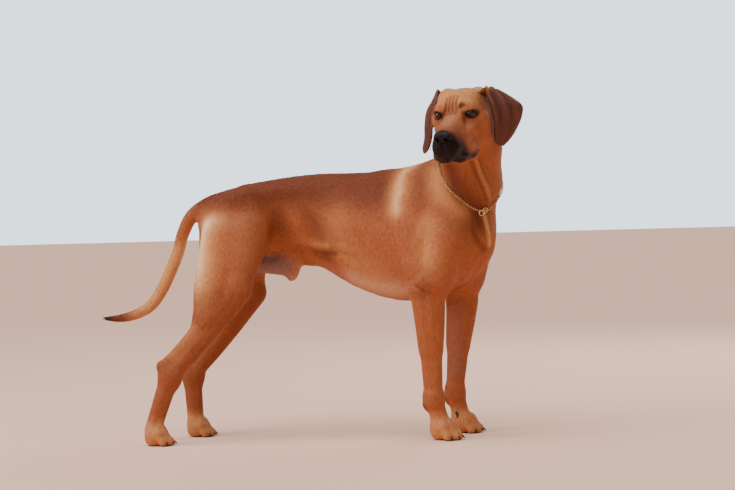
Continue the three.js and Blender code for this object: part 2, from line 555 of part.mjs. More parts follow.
// Tail in three lengths.
const TAIL_LENGTHS = { tail_root: [1, 4, 9, 12], tail_middle: [4, 7, 8, 10], tail_tip: [7, 10, 8, 10] };
function tailParts() {
  const way = (i) => unit(sub(TAIL[Math.min(i + 1, TAIL.length - 1)].slice(0, 3), TAIL[i - 1].slice(0, 3)));
  for (const [name, [from, to, rings, sides]] of Object.entries(TAIL_LENGTHS)) {
    const keys = [];
    for (let i = from; i <= to; i += 1) keys.push({ at: TAIL[i].slice(0, 3), way: way(i) });
    keys[0] = nudge(keys[0], GAP);
    piece(name, skin(tail, stations(keys, rings), sides, { round: to === 10 }), 'back');
  }
}

// Hind legs: thigh, shank, hock and foot.
function hindParts(side) {
  const leg = HIND[side];
  const s = side === 'right' ? -1 : 1;
  const inner = side === 'right' ? MIDLINE_REAR : flip(MIDLINE_REAR);
  const { knee, hock, heel, knuckle } = leg;
  const down = HIP_CUT.way;
  const shin = unit(sub(hock, knee));
  const top = bend(-188, 54 * s, 0);
  top[2] = (dot(HIP_CUT.way, FLANK) - HIP_CUT.way[0] * top[0] - HIP_CUT.way[1] * top[1]) / HIP_CUT.way[2];
  const drop = [0, 0, -1];
  const kneeCut = { at: add(mix(knee, hock, 0.24), [-34, 0, 0]), way: unit(mix(down, shin, 0.6)) };
  const hockCut = { at: add(mix(knee, hock, 0.87), [-3, 0, 2]), way: unit(mix(shin, drop, 0.15)) };
  const footCut = { at: [mix(hock, knuckle, 0.8)[0], mix(hock, knuckle, 0.8)[1], FOOT_CUT], way: drop };
  const clear = (p) => Math.max(hindForm(p), 4 - tail(p), 4 - sheath(p));
  const thigh = [nudge({ at: top, way: down }, GAP),
    { at: mix(top, kneeCut.at, 0.5), way: unit(mix(down, kneeCut.way, 0.5)) }, kneeCut];
  const middle = add(mix(kneeCut.at, hockCut.at, 0.5), [2, 0, 0]);
  const shank = [nudge(kneeCut, GAP), { at: middle, way: shin }, hockCut];
  const hockKeys = [nudge(hockCut, GAP), { at: mix(hock, heel, 0.25), way: unit(mix(shin, drop, 0.5)) },
    { at: mix(hock, knuckle, 0.35), way: unit(mix(shin, drop, 0.85)) }, footCut];
  piece(`thigh_${side}`, skin(clear, stations(thigh, 8), 20, { walls: [inner] }), 'coat');
  piece(`shank_${side}`, skin(hindForm, stations(shank, 7), 14), 'coat');
  piece(`hock_${side}`, skin(legWithPaw(hindForm, leg, PAW.hind), stations(hockKeys, 8), 12), 'leg');
  footParts(`hind_${side}`, legWithPaw(hindForm, leg, PAW.hind), leg, PAW.hind);
}

// Forelegs: forearm, wrist and foot.
function foreParts(side) {
  const leg = FORE[side];
  const out = side === 'right' ? -1 : 1;
  const brisketSide = bend(340, out * (BRISKET.half + GAP), 0);
  const inner = wall(brisketSide, ACROSS_CHEST.map((v) => -v * out));
  const { elbow, wrist, knuckle } = leg;
  const drop = [0, 0, -1];
  const level = (a, b, z, ahead = 0) => {
    const at = mix(a, b, (a[2] - z) / (a[2] - b[2]));
    return { at: [at[0] + ahead, at[1], z], way: drop };
  };
  const forearm = [level(elbow, wrist, ELBOW_CUT - GAP, 2), level(elbow, wrist, 340, 2),
    level(elbow, wrist, 240), level(elbow, wrist, WRIST_CUT)];
  const pastern = [level(elbow, wrist, WRIST_CUT - GAP), level(elbow, wrist, 100), level(wrist, knuckle, FOOT_CUT)];
  piece(`forearm_${side}`, skin(foreForm, stations(forearm, 8), 14, { walls: [inner] }), 'leg');
  const form = legWithPaw(foreForm, leg, PAW.fore);
  piece(`wrist_${side}`, skin(form, stations(pastern, 6), 14), 'leg');
  footParts(`fore_${side}`, form, leg, PAW.fore);
}
const legWithPaw = (form, leg, size) => {
  const frame = footFrame(leg, size);
  return (p) => blend(form(p), paw(p, frame), 8);
};

// A foot stands on a flat sole. Its claws start at the toes' ends.
const CLAW = { long: 14, thick: 4.6, rings: 2, sides: 5 };
function footParts(name, form, leg, size) {
  const { at } = footFrame(leg, size);
  const heights = [FOOT_CUT - GAP, 47, 35, 24, 13, 5, 0];
  const keys = heights.map((z, i) => ({ at: at(4 + 10 * Math.sin(Math.PI * i / 12), 0, z / size), way: [0, 0, -1] }));
  const rings = (grow) => skin((p) => form(p) - grow, keys, 20);
  piece(`paw_${name}`, rings(0), 'leg');
  const fleshed = rings(GAP);
  TOES.forEach(([out, reach], i) => {
    const root = at(reach + 2, out, 16);
    const tip = at(reach + 2 + CLAW.long, out * 1.05, 5);
    piece(`claw_${name}_${i + 1}`, cut(clawHorn(root, tip, size), fleshed), 'claw');
  });
}
function clawHorn(root, tip, size) {
  const way = unit(sub(tip, root));
  const across = unit(cross(way, [0, 0, 1]));
  const up = cross(across, way);
  const rings = Array.from({ length: CLAW.rings }, (_, i) => {
    const t = i / (CLAW.rings - 1);
    const r = CLAW.thick * size * (1 - 0.8 * t * t);
    const middle = add(mix(root, tip, t), [0, 0, 1], 2.2 * Math.sin(Math.PI * t));
    return Array.from({ length: CLAW.sides }, (_, s) => {
      const a = 2 * Math.PI * s / CLAW.sides;
      return add(add(middle, across, 0.75 * r * Math.cos(a)), up, r * Math.sin(a));
    });
  });
  return loft(rings);
}

// A thin choke chain hangs round the neck, pulled down in front by its two rings.
const CHAIN = { at: [365, -185, 600], way: unit([0.30, -0.30, 0.90]), front: [0.536, -0.728, -0.426],
  thick: 4, clear: 2, points: 36 };
const CHAIN_HANG = { middle: 25, fall: -38, lean: 14, dip: -22, dipWidth: 35 };
const RINGS = { radius: 9.6, wire: 1.6, places: [{ turn: 8, drop: -1, out: 11 }, { turn: -8, drop: -2, out: 12 }] };
function chainPoint(degrees, drop, clear) {
  const a = rad(degrees);
  const { middle, fall, lean, dip, dipWidth } = CHAIN_HANG;
  const rise = middle + fall * Math.cos(a) + lean * Math.sin(a) + dip * Math.exp(-((degrees / dipWidth) ** 2));
  const front = unit(sub(CHAIN.front, CHAIN.way.map((v) => v * dot(CHAIN.front, CHAIN.way))));
  const out = add(front.map((v) => v * Math.cos(a)), cross(CHAIN.way, front), Math.sin(a));
  const start = add(CHAIN.at, CHAIN.way, rise + drop);
  return { at: add(start, out, castOut(chestForm, start, out, []) + clear), out };
}
function collarParts() {
  const path = [];
  for (let i = 0; i < CHAIN.points; i += 1) {
    path.push(chainPoint(360 * i / CHAIN.points - 180, 0, CHAIN.thick / 2 + CHAIN.clear).at);
  }
  const rope = new THREE.CatmullRomCurve3(path.map((p) => new THREE.Vector3(...p)), true);
  const round = new THREE.Shape().absarc(0, 0, CHAIN.thick / 2, 0, 2 * Math.PI);
  const tube = new THREE.ExtrudeGeometry(round, { steps: CHAIN.points, curveSegments: 2, extrudePath: rope });
  piece('collar_chain', tube, 'chain');
  RINGS.places.forEach(({ turn, drop, out }, i) => {
    const { at, out: facing } = chainPoint(turn, drop - RINGS.radius / 2, out);
    const ring = new THREE.TorusGeometry(RINGS.radius, RINGS.wire, 5, 12);
    const stand = new THREE.Quaternion().setFromUnitVectors(new THREE.Vector3(0, 0, 1), new THREE.Vector3(...facing));
    piece(`collar_ring_${i + 1}`, ring.applyQuaternion(stand).translate(...at), 'chain');
  });
}

trunkParts();
neckPart();
headParts();
tailParts();
for (const side of ['right', 'left']) hindParts(side);
for (const side of ['right', 'left']) foreParts(side);
collarParts();

export default dog;
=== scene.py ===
import math

import bmesh
import bpy
import numpy as np
from mathutils import Matrix, Vector
from mathutils.bvhtree import BVHTree


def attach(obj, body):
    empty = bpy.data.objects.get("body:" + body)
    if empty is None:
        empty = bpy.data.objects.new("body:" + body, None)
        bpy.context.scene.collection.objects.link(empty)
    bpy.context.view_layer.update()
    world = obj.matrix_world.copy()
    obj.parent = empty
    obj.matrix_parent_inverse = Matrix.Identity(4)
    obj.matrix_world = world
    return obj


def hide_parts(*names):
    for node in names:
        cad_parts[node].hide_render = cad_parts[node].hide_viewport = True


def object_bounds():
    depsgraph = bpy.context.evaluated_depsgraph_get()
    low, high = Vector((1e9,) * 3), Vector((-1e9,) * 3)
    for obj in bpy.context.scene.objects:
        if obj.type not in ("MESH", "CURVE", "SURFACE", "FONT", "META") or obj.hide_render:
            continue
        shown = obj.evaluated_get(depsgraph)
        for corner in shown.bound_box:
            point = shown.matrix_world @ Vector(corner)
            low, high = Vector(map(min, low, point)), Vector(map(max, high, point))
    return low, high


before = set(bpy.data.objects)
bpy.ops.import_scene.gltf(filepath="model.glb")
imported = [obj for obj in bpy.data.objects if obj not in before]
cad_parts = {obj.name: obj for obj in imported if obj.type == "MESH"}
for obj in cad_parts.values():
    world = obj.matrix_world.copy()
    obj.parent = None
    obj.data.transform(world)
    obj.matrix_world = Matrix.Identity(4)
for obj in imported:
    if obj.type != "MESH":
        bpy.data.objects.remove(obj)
cad_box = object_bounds()


# ---------------------------------------------------------------- camera, floor and light
# A long lens, level with the dog's back, five metres from its flank. The floor is a plain pale
# sheet. A hazy sun, two soft lamps and a pale room light the dog evenly.
STAND = np.array((0.0085, 0.1905, 0.0))     # from the middle of the footprint to the body's own zero
CAMERA_AT = Vector((0.1371, -5.0, 0.551)) + Vector(STAND)
CAMERA_LENS = 100.9
CAMERA_PITCH = math.radians(90 - 1.11)
CAMERA_ROLL = math.radians(-1.5)
LAMPS = [    # kind, where each stands, what it faces, its width in metres or degrees, and its power
    ("SUN", (-0.8, -0.9, 3.4), (0.0, 0.0, 0.4), 60, 2.7),
    ("AREA", (-3.2, -1.2, 1.7), (0.0, 0.0, 0.5), 2.0, 62),
    ("AREA", (1.8, 2.6, 2.2), (0.1, 0.0, 0.5), 2.0, 45),
]
FLOOR_CORNERS = [(-30, -14, 0), (30, -14, 0), (30, 32, 0), (-30, 32, 0)]
ROOM_TINT, ROOM_LIGHT = (0.87, 0.94, 1.0, 1), 0.36     # what lights the dog from all round
WALL_TINT, WALL_LIGHT = (0.80, 0.89, 1.0, 1), 2.3      # what the camera sees behind it


def placed(name, data):
    """A new object that stands in the scene."""
    made = bpy.data.objects.new(name, data)
    bpy.context.scene.collection.objects.link(made)
    return made


camera = placed("camera", bpy.data.cameras.new("camera"))
camera.data.lens = CAMERA_LENS
camera.location = CAMERA_AT
tilt = Matrix.Rotation(CAMERA_PITCH, 4, "X") @ Matrix.Rotation(CAMERA_ROLL, 4, "Z")
camera.rotation_euler = tilt.to_euler()
bpy.context.scene.camera = camera

floor_mesh = bpy.data.meshes.new("floor")
floor_mesh.from_pydata(FLOOR_CORNERS, [], [(0, 1, 2, 3)])
floor = placed("floor", floor_mesh)

for kind, place, target, size, power in LAMPS:
    lamp = bpy.data.lights.new("lamp_" + kind.lower(), kind)
    if kind == "SUN":
        lamp.angle = math.radians(size)
    else:
        lamp.shape = "DISK"
        lamp.size = size
    lamp.energy = power
    holder = placed(lamp.name, lamp)
    holder.location = place
    holder.rotation_euler = (Vector(target) - Vector(place)).to_track_quat("-Z", "Y").to_euler()

world = bpy.data.worlds.new("room")
bpy.context.scene.world = world
world.use_nodes = True
room, wires = world.node_tree.nodes, world.node_tree.links
room["Background"].inputs["Color"].default_value = ROOM_TINT
room["Background"].inputs["Strength"].default_value = ROOM_LIGHT
wall = room.new("ShaderNodeBackground")
wall.inputs["Color"].default_value = WALL_TINT
wall.inputs["Strength"].default_value = WALL_LIGHT
both = room.new("ShaderNodeMixShader")
wires.new(room.new("ShaderNodeLightPath").outputs["Is Camera Ray"], both.inputs[0])
wires.new(room["Background"].outputs[0], both.inputs[1])
wires.new(wall.outputs[0], both.inputs[2])
wires.new(both.outputs[0], room["World Output"].inputs[0])


# ---------------------------------------------------------------- finishes
# Small tools that write a finish as sums and products of masks, and the floor's plain paint.
class Socket:
    """One output of a node, or a number, that Python's operators combine by Math nodes."""

    def __init__(self, tree, link):
        self.tree, self.link = tree, link

    def _math(self, operation, *terms, clamp=False):
        node = self.tree.nodes.new("ShaderNodeMath")
        node.operation = operation
        node.use_clamp = clamp
        for place, term in zip(node.inputs, terms):
            plug(self.tree, place, term)
        return Socket(self.tree, node.outputs[0])

    def __add__(self, other):
        return self._math("ADD", self, other)

    __radd__ = __add__

    def __sub__(self, other):
        return self._math("SUBTRACT", self, other)

    def __rsub__(self, other):
        return self._math("SUBTRACT", other, self)

    def __mul__(self, other):
        return self._math("MULTIPLY", self, other)

    __rmul__ = __mul__

    def clamped(self):
        return self._math("ADD", self, 0.0, clamp=True)


def plug(tree, place, term):
    """Feeds a socket from another one, or sets its value."""
    if isinstance(term, Socket):
        tree.links.new(term.link, place)
    elif term is not None:
        opaque = isinstance(term, tuple) and len(place.default_value) == 4
        place.default_value = (*term, 1) if opaque else term


class Finish:
    """A material built from nodes."""

    def __init__(self, name):
        self.material = bpy.data.materials.new(name)
        self.material.use_nodes = True
        self.tree = self.material.node_tree
        self.shader = self.tree.nodes["Principled BSDF"]

    def node(self, kind, output=0, settings=(), **sockets):
        """Adds a node: its settings first, then its sockets by name, and gives one output."""
        made = self.tree.nodes.new(kind)
        for key, value in dict(settings).items():
            setattr(made, key, value)
        for key, term in sockets.items():
            plug(self.tree, made.inputs[key.replace("_", " ")], term)
        return Socket(self.tree, made.outputs[output])

    def place(self):
        return self.node("ShaderNodeTexCoord", "Object")

    def stretched(self, scale):
        mapped = self.tree.nodes.new("ShaderNodeMapping")
        mapped.inputs["Scale"].default_value = scale
        self.tree.links.new(self.place().link, mapped.inputs["Vector"])
        return Socket(self.tree, mapped.outputs[0])

    def noise(self, scale, detail=2.0, roughness=0.5, vector=None):
        return self.node("ShaderNodeTexNoise", 0, Vector=vector or self.place(), Scale=scale,
                         Detail=detail, Roughness=roughness)

    def mix(self, amount, first, second):
        made = self.tree.nodes.new("ShaderNodeMix")
        made.data_type = "RGBA"
        plug(self.tree, made.inputs[0], amount)
        plug(self.tree, made.inputs[6], first)
        plug(self.tree, made.inputs[7], second)
        return Socket(self.tree, made.outputs[2])

    def brightened(self, colour, factor):
        made = self.tree.nodes.new("ShaderNodeVectorMath")
        made.operation = "SCALE"
        plug(self.tree, made.inputs[0], colour)
        plug(self.tree, made.inputs["Scale"], factor)
        return Socket(self.tree, made.outputs[0])

    def parts(self, attribute):
        """The three numbers kept in a colour attribute of the mesh."""
        whole = self.node("ShaderNodeAttribute", "Color", {"attribute_name": attribute})
        split = self.tree.nodes.new("ShaderNodeSeparateColor")
        self.tree.links.new(whole.link, split.inputs[0])
        return [Socket(self.tree, split.outputs[i]) for i in range(3)]

    def bump(self, height, distance, strength=1.0):
        return self.node("ShaderNodeBump", 0, Height=height, Distance=distance, Strength=strength)

    def set(self, **sockets):
        """Sets or feeds the shader's own sockets."""
        for key, term in sockets.items():
            plug(self.tree, self.shader.inputs[key.replace("_", " ")], term)
        return self.material


paint = Finish("floor_paint")
floor.data.materials.append(paint.set(Base_Color=(0.90, 0.56, 0.42), Roughness=0.9, Specular_IOR_Level=0.05))


# ---------------------------------------------------------------- soft forms
# Flesh is modelled as smooth fields that are negative inside: rods for bones and muscles, eggs for
# masses, run together like clay. All of them take an array of points, in metres.
def blend(a, b, reach):
    h = np.clip(0.5 + 0.5 * (b - a) / reach, 0, 1)
    return b * (1 - h) + a * h - reach * h * (1 - h)


def run_together(d, *masses):
    """Blends more masses into a form one by one, each with its own reach."""
    for mass, reach in masses:
        d = blend(d, mass, reach)
    return d


def hollow(a, b, reach):
    return -blend(-a, -b, reach)


def rod(p, a, b, ra, rb, belly=0.0, flat=1.0, axis=None):
    """A tapered rod with round ends. flat narrows it along the axis, belly swells it midway."""
    a, b = np.asarray(a, np.float32), np.asarray(b, np.float32)
    ab = b - a
    h = np.clip(((p - a) @ ab) / float(ab @ ab), 0, 1)
    q = p - a - h[:, None] * ab
    scale = 1.0
    if axis is not None:
        way = np.asarray(axis, np.float32)
        way = way / np.linalg.norm(way)
        q = q + (q @ way)[:, None] * way * (1 / flat - 1)
        scale = 0.5 + 0.5 * flat if flat < 1 else 1.0
    return (np.sqrt((q * q).sum(-1)) - ra - (rb - ra) * h - belly * 4 * h * (1 - h)) * scale


def egg(p, at, radii):
    q = p - np.asarray(at, np.float32)
    r = np.asarray(radii, np.float32)
    k0 = np.sqrt(((q / r) ** 2).sum(-1))
    k1 = np.sqrt(((q / (r * r)) ** 2).sum(-1)) + 1e-9
    return k0 * (k0 - 1) / k1


def ball(p, at, radius):
    q = p - np.asarray(at, np.float32)
    return np.sqrt((q * q).sum(-1)) - radius


def chain_of_rods(p, stations, reach=0):
    d = None
    for s, t in zip(stations[:-1], stations[1:]):
        link = rod(p, s[:3], t[:3], s[3], t[3])
        d = link if d is None else blend(d, link, reach) if reach else np.minimum(d, link)
    return d


def mirrored(p):
    return np.stack([p[:, 0], np.abs(p[:, 1]), p[:, 2]], -1)


def from_line(p, points):
    """How far each point is from a line through the given points."""
    gap = np.full(len(p), np.inf, np.float32)
    for a, b in zip(points[:-1], points[1:]):
        gap = np.minimum(gap, rod(p, a, b, 0, 0))
    return gap


def curve_through(points, steps):
    """A smooth curve through points, at so many even steps."""
    p = np.array(points, float)
    t = np.linspace(0, len(p) - 1, steps)
    i = np.clip(t.astype(int), 0, len(p) - 2)
    f = (t - i)[:, None]
    ends = np.concatenate([2 * p[:1] - p[1:2], p, 2 * p[-1:] - p[-2:-1]])
    a, b, c, d = (ends[i + k] for k in range(4))
    return .5 * (2 * b + (c - a) * f + (2 * a - 5 * b + 4 * c - d) * f * f
                 + (3 * b - a - 3 * c + d) * f ** 3)


def settle(form, knots, rounds=2, limit=.002):
    """Moves each point straight onto the form's surface."""
    knots = np.array(knots, np.float32)
    nudge = .15 * limit
    for _ in range(rounds):
        here = form(knots)
        slope = np.stack([form(knots + np.float32(nudge) * np.eye(3, dtype=np.float32)[k]) - here
                          for k in range(3)], 1) / nudge
        move = -here[:, None] * slope / np.maximum((slope ** 2).sum(1), .25)[:, None]
        length = np.linalg.norm(move, axis=1, keepdims=True) + 1e-12
        knots += move * np.minimum(1, limit / length)
    return knots


def fold(form, points, width, depth):
    """A furrow laid on a form's surface along a line, or with a negative depth a fold that stands up."""
    long = np.linalg.norm(np.diff(np.array(points, float), axis=0), axis=1).sum()
    return settle(form, curve_through(points, int(long / (.6 * width)) + 2), 8, width), width, depth


def carved(p, folds):
    """How much all the folds lower the surface near each point."""
    total = np.zeros(len(p), np.float32)
    for line, width, depth in folds:
        middle = line.mean(0)
        k, q = line - middle, p - middle
        reach = np.sqrt((k * k).sum(1).max()) + 2.6 * width
        inside = (q * q).sum(1) < reach * reach
        if inside.any():
            q = q[inside]
            gap = ((q * q).sum(1)[:, None] - 2 * q @ k.T + (k * k).sum(1)).min(1)
            total[inside] += depth * np.exp(-np.maximum(gap, 0) / width ** 2)
    return total


def step(low, high, value):
    t = np.clip((value - low) / (high - low), 0, 1)
    return t * t * (3 - 2 * t)


# ---------------------------------------------------------------- trunk
# Rib cage, loin and croup along a spine that bends round to the right in front, with the muscles
# that lie on them. Body measures run along the spine, to its left, and up.
SPINE_FROM, SPINE_TO, SPINE_SIDE = -0.22, 0.28, -0.065
SPINE_TURN = np.radians((-14, 28))
SPINE_CURVE = (SPINE_TURN[1] - SPINE_TURN[0]) / (SPINE_TO - SPINE_FROM)
PIVOT = np.array((SPINE_FROM - math.sin(SPINE_TURN[0]) / SPINE_CURVE,
                  SPINE_SIDE - math.cos(SPINE_TURN[0]) / SPINE_CURVE))
BARREL = [  # along the spine, height of the middle, half height, half width
    (-.205, .520, .064, .057), (-.13, .523, .087, .070), (-.05, .531, .094, .073), (.03, .528, .104, .083),
    (.10, .509, .122, .095), (.17, .486, .143, .102), (.24, .476, .156, .101), (.30, .478, .149, .090),
    (.36, .471, .109, .078),
]
BARREL_FINE = [tuple(row) for row in curve_through(BARREL, 25)]
SIDEWAYS = (0, 1, 0)


def bend(x, y, z):
    """Body measures to the model's own."""
    s = min(SPINE_TO, max(SPINE_FROM, x))
    t = SPINE_TURN[0] + SPINE_CURVE * (s - SPINE_FROM)
    r = 1 / SPINE_CURVE + y
    return np.array((PIVOT[0] + math.sin(t) * r + math.cos(t) * (x - s),
                     PIVOT[1] + math.cos(t) * r - math.sin(t) * (x - s), z))


def unbend(p):
    d = p[:, :2] - PIVOT.astype(np.float32)
    t = np.arctan2(d[:, 0], d[:, 1])
    end = np.clip(t, *SPINE_TURN)
    inside = np.hypot(d[:, 0], d[:, 1]) - 1 / SPINE_CURVE
    s = SPINE_FROM + (end - SPINE_TURN[0]) / SPINE_CURVE
    past = d[:, 0] * np.cos(end) - d[:, 1] * np.sin(end)
    side = d[:, 0] * np.sin(end) + d[:, 1] * np.cos(end) - 1 / SPINE_CURVE
    straight = end != t
    return np.stack([s + np.where(straight, past, 0), np.where(straight, side, inside), p[:, 2]],
                    -1).astype(np.float32)


def barrel(b):
    d = None
    for (x0, z0, tall0, wide0), (x1, z1, tall1, wide1) in zip(BARREL_FINE[:-1], BARREL_FINE[1:]):
        start, along = np.array((x0, 0, z0), np.float32), np.array((x1 - x0, 0, z1 - z0), np.float32)
        h = np.clip(((b - start) @ along) / float(along @ along), 0, 1)
        q = b - start - h[:, None] * along
        tall, wide = tall0 + (tall1 - tall0) * h, wide0 + (wide1 - wide0) * h
        r = np.sqrt(q[:, 0] ** 2 + (q[:, 1] * tall / wide) ** 2 + q[:, 2] ** 2)
        hoop = (r - tall) * (0.5 + 0.5 * wide / tall)
        d = hoop if d is None else np.minimum(d, hoop)
    return d


def trunk_form(b):
    """The trunk in body measures, without its folds."""
    m = mirrored(b)
    belly = [(-.05, 0, .432, .022), (.04, 0, .427, .021), (.12, 0, .388, .020), (.20, 0, .362, .018)]
    return run_together(
        barrel(b),
        (rod(m, (-.14, .030, .580), (.20, .032, .599), .028, .030), .018),                 # loin muscles
        (rod(m, (.19, .010, .599), (.315, .012, .617), .026, .026), .025),                 # withers
        (rod(m, (.285, .048, .595), (.378, .078, .475), .032, .042, .004, .7, SIDEWAYS), .026),
        (rod(m, (.278, .068, .540), (.318, .088, .368), .038, .032, .010, .7, SIDEWAYS), .018),
        (rod(m, (.392, .078, .470), (.362, .086, .374), .040, .039), .022),                # upper arm
        (egg(b, (.395, 0, .462), (.036, .046, .056)), .03),                                # breastbone
        (rod(m, (.395, .030, .440), (.350, .056, .372), .035, .032), .018),                # breast muscles
        (egg(m, (-.168, .042, .556), (.062, .034, .042)), .025),                           # croup
        (chain_of_rods(b, belly), .02),
        (rod(b, (-.135, 0, .420), (-.045, 0, .405), .024, .022), .014),                    # sheath
        (egg(b, (-.046, 0, .390), (.016, .013, .018)), .010))


# furrows between the muscles, then the loose skin of flank, breast and armpit: width and depth
BOTH_SIDES = [
    ([(.262, .045, .610), (.258, .085, .550), (.266, .102, .490), (.286, .108, .430)], .013, .0042),
    ([(.345, .075, .560), (.318, .100, .500), (.300, .108, .450), (.322, .112, .395)], .010, .0034),
    ([(.330, .050, .612), (.372, .082, .545), (.402, .088, .490)], .012, .0034),
    ([(.300, .070, .620), (.312, .090, .560), (.335, .100, .500)], .012, -.0022),
    ([(-.165, .085, .530), (-.185, .105, .455), (-.205, .118, .400)], .014, .0034),
    ([(-.075, .072, .525), (-.062, .078, .475)], .030, .0065),
    ([(-.095, .072, .462), (-.112, .095, .430), (-.128, .112, .395)], .009, -.0044),
    ([(-.088, .060, .455), (-.051, .060, .440), (.020, .055, .439), (.076, .070, .443), (.128, .074, .429)],
     .008, .0058),
    ([(-.060, .066, .452), (.020, .066, .452), (.080, .078, .456), (.135, .084, .444)], .009, -.0022),
    ([(-.135, .070, .553), (-.128, .074, .546)], .016, -.0040),
    ([(-.200, .050, .560), (-.170, .075, .520)], .012, .0024),
    ([(.335, .105, .395), (.300, .112, .372), (.262, .100, .362)], .008, .0032),
]
SINGLE = [
    ([(-.13, 0, .61), (.0, 0, .615), (.17, 0, .622)], .012, .0016),
    ([(.440, -.062, .512), (.434, -.074, .470), (.425, -.078, .430)], .005, .0032),
    ([(.452, -.048, .500), (.450, -.055, .455)], .004, .0024),
    ([(.456, -.034, .520), (.455, -.037, .468), (.446, -.034, .420)], .006, -.0034),
    ([(.440, -.020, .430), (.405, -.010, .375)], .008, .0040),
    ([(-.118, 0, .440), (-.122, -.02, .405)], .006, .0020),
    ([(-.052, 0, .42), (-.056, -.018, .398), (-.056, 0, .380)], .005, .0018),
]
TRUNK_FOLDS_BESIDE = [fold(trunk_form, *row) for row in BOTH_SIDES]
TRUNK_FOLDS = [fold(trunk_form, *row) for row in SINGLE]
RIB_PITCH, RIB_SLOPE, RIB_SWELL = .037, 0.42, .0013


def trunk(p):
    b = unbend(p)
    d = trunk_form(b) + carved(mirrored(b), TRUNK_FOLDS_BESIDE) + carved(b, TRUNK_FOLDS)
    ribs = np.cos(2 * math.pi * (b[:, 0] + RIB_SLOPE * (b[:, 2] - .5)) / RIB_PITCH)
    window = (step(-.04, .03, b[:, 0]) * step(.24, .17, b[:, 0])
              * step(.385, .43, b[:, 2]) * step(.56, .51, b[:, 2]))
    return d - RIB_SWELL * ribs * window


# ---------------------------------------------------------------- legs and feet
# Long bones with their muscles and cords, hocks and wrists, and feet of four toes and a pad each.
HIND = {    # out is which way the leg's outer side faces: to the dog's right, or to its left
    "right": dict(hip=bend(-.184, -.058, .49), seat=bend(-.246, -.045, .500), knee=(-.174, -.158, .366),
                  ham=(-.246, -.158, .304), hock=(-.333, -.170, .163), heel=(-.352, -.172, .184),
                  knuckle=(-.375, -.176, .032), heading=-12, size=.92, out=-1),
    "left": dict(hip=bend(-.176, .058, .49), seat=bend(-.240, .045, .500), knee=(-.149, .020, .352),
                 ham=(-.232, .020, .304), hock=(-.293, .004, .154), heel=(-.323, .004, .174),
                 knuckle=(-.291, -.002, .032), heading=-8, size=.92, out=1),
}
FORE = {
    "right": dict(elbow=(.274, -.222, .338), point=(.250, -.224, .346), wrist=(.282, -.208, .100),
                  knuckle=(.298, -.203, .034), heading=-32, size=1.0, out=-1),
    "left": dict(elbow=(.360, -.080, .338), point=(.334, -.082, .345), wrist=(.338, -.068, .100),
                 knuckle=(.352, -.064, .034), heading=-18, size=1.0, out=1),
}
THIGH_AXIS, ARM_AXIS = (0.2, 1, 0), (0.3, 1, 0)
TOES = [(-.024, .030), (-.009, .042), (.009, .042), (.024, .030)]      # out to the side, and forward


def at(point, x=0.0, y=0.0, z=0.0):
    return np.array(point, float) + (x, y, z)


def between(a, b, t):
    return np.array(a, float) * (1 - t) + np.array(b, float) * t


def hind_leg(p, leg):
    hip, seat, knee, hock, heel, out = (leg[k] for k in ("hip", "seat", "knee", "hock", "heel", "out"))
    calf, cord = at(between(knee, heel, .58), .008), at(between(knee, heel, .5), .003)
    inner = between(hock, heel, .5)
    foot = at(leg["knuckle"], 0, 0, .012)
    return run_together(
        rod(p, at(hip, .035, 0, .01), at(knee, -.004, 0, .006), .048, .034, .006, .78, THIGH_AXIS),
        (rod(p, at(seat, .026, .006 * out, -.02), leg["ham"], .041, .030, .008, .82, THIGH_AXIS), .03),
        (rod(p, at(hip, -.01, .008 * out, -.02), at(knee, -.048, 0, -.02), .056, .038, 0, .72, THIGH_AXIS),
         .03),
        (egg(p, at(seat, .022, .004 * out, -.02), (.032, .030, .042)), .03),
        (rod(p, at(knee, .004, 0, -.01), hock, .031, .0205, .004, .85, THIGH_AXIS), .025),
        (rod(p, at(knee, -.044, 0, -.032), calf, .034, .014, .005, .72, THIGH_AXIS), .02),
        (rod(p, cord, at(heel, .001, 0, .003), .012, .0105), .012),
        (rod(p, between(knee, inner, .66), inner, .0145, .0135), .014),
        (rod(p, at(hock, .002, 0, -.006), heel, .022, .0135), .012),
        (egg(p, at(hock, -.001, 0, -.008), (.0205, .020, .026)), .016),
        (rod(p, at(hock, -.004, 0, -.008), foot, .0235, .0205, 0, .82, SIDEWAYS), .016))


def hind_folds(leg):
    """The hollow ahead of the heel cord, the shin's edge and vein, the knee, and the cords of the foot."""
    knee, hock, heel, knuckle, out = (leg[k] for k in ("knee", "hock", "heel", "knuckle", "out"))

    def form(p):
        return hind_leg(p, leg)

    rows = []
    for side in (out, -out):
        rows.append(([at(between(knee, heel, t), .012, .016 * side, -.004) for t in (.52, .74, .93)],
                     .009, .0034))
        rows.append(([at(hock, .004, .018 * side, -.02), at(between(hock, knuckle, .55), .004, .018 * side),
                      at(knuckle, .006, .016 * side, .016)], .006, .0020))
    rows += [
        ([at(between(knee, hock, t), .014, .024 * out) for t in (.1, .45, .75)], .006, .0024),
        ([at(between(knee, hock, t), -.012, .026 * out) for t in (.15, .40, .62)], .0045, -.0020),
        ([at(knee, -.020, .034 * out, .03), at(knee, -.026, .034 * out, -.01),
          at(knee, -.05, .03 * out, -.05)], .011, .0030),
        ([at(knee, .022, .022 * out, .020), at(knee, .024, .022 * out, -.012)], .009, -.0022),
    ]
    return [fold(form, *row) for row in rows]


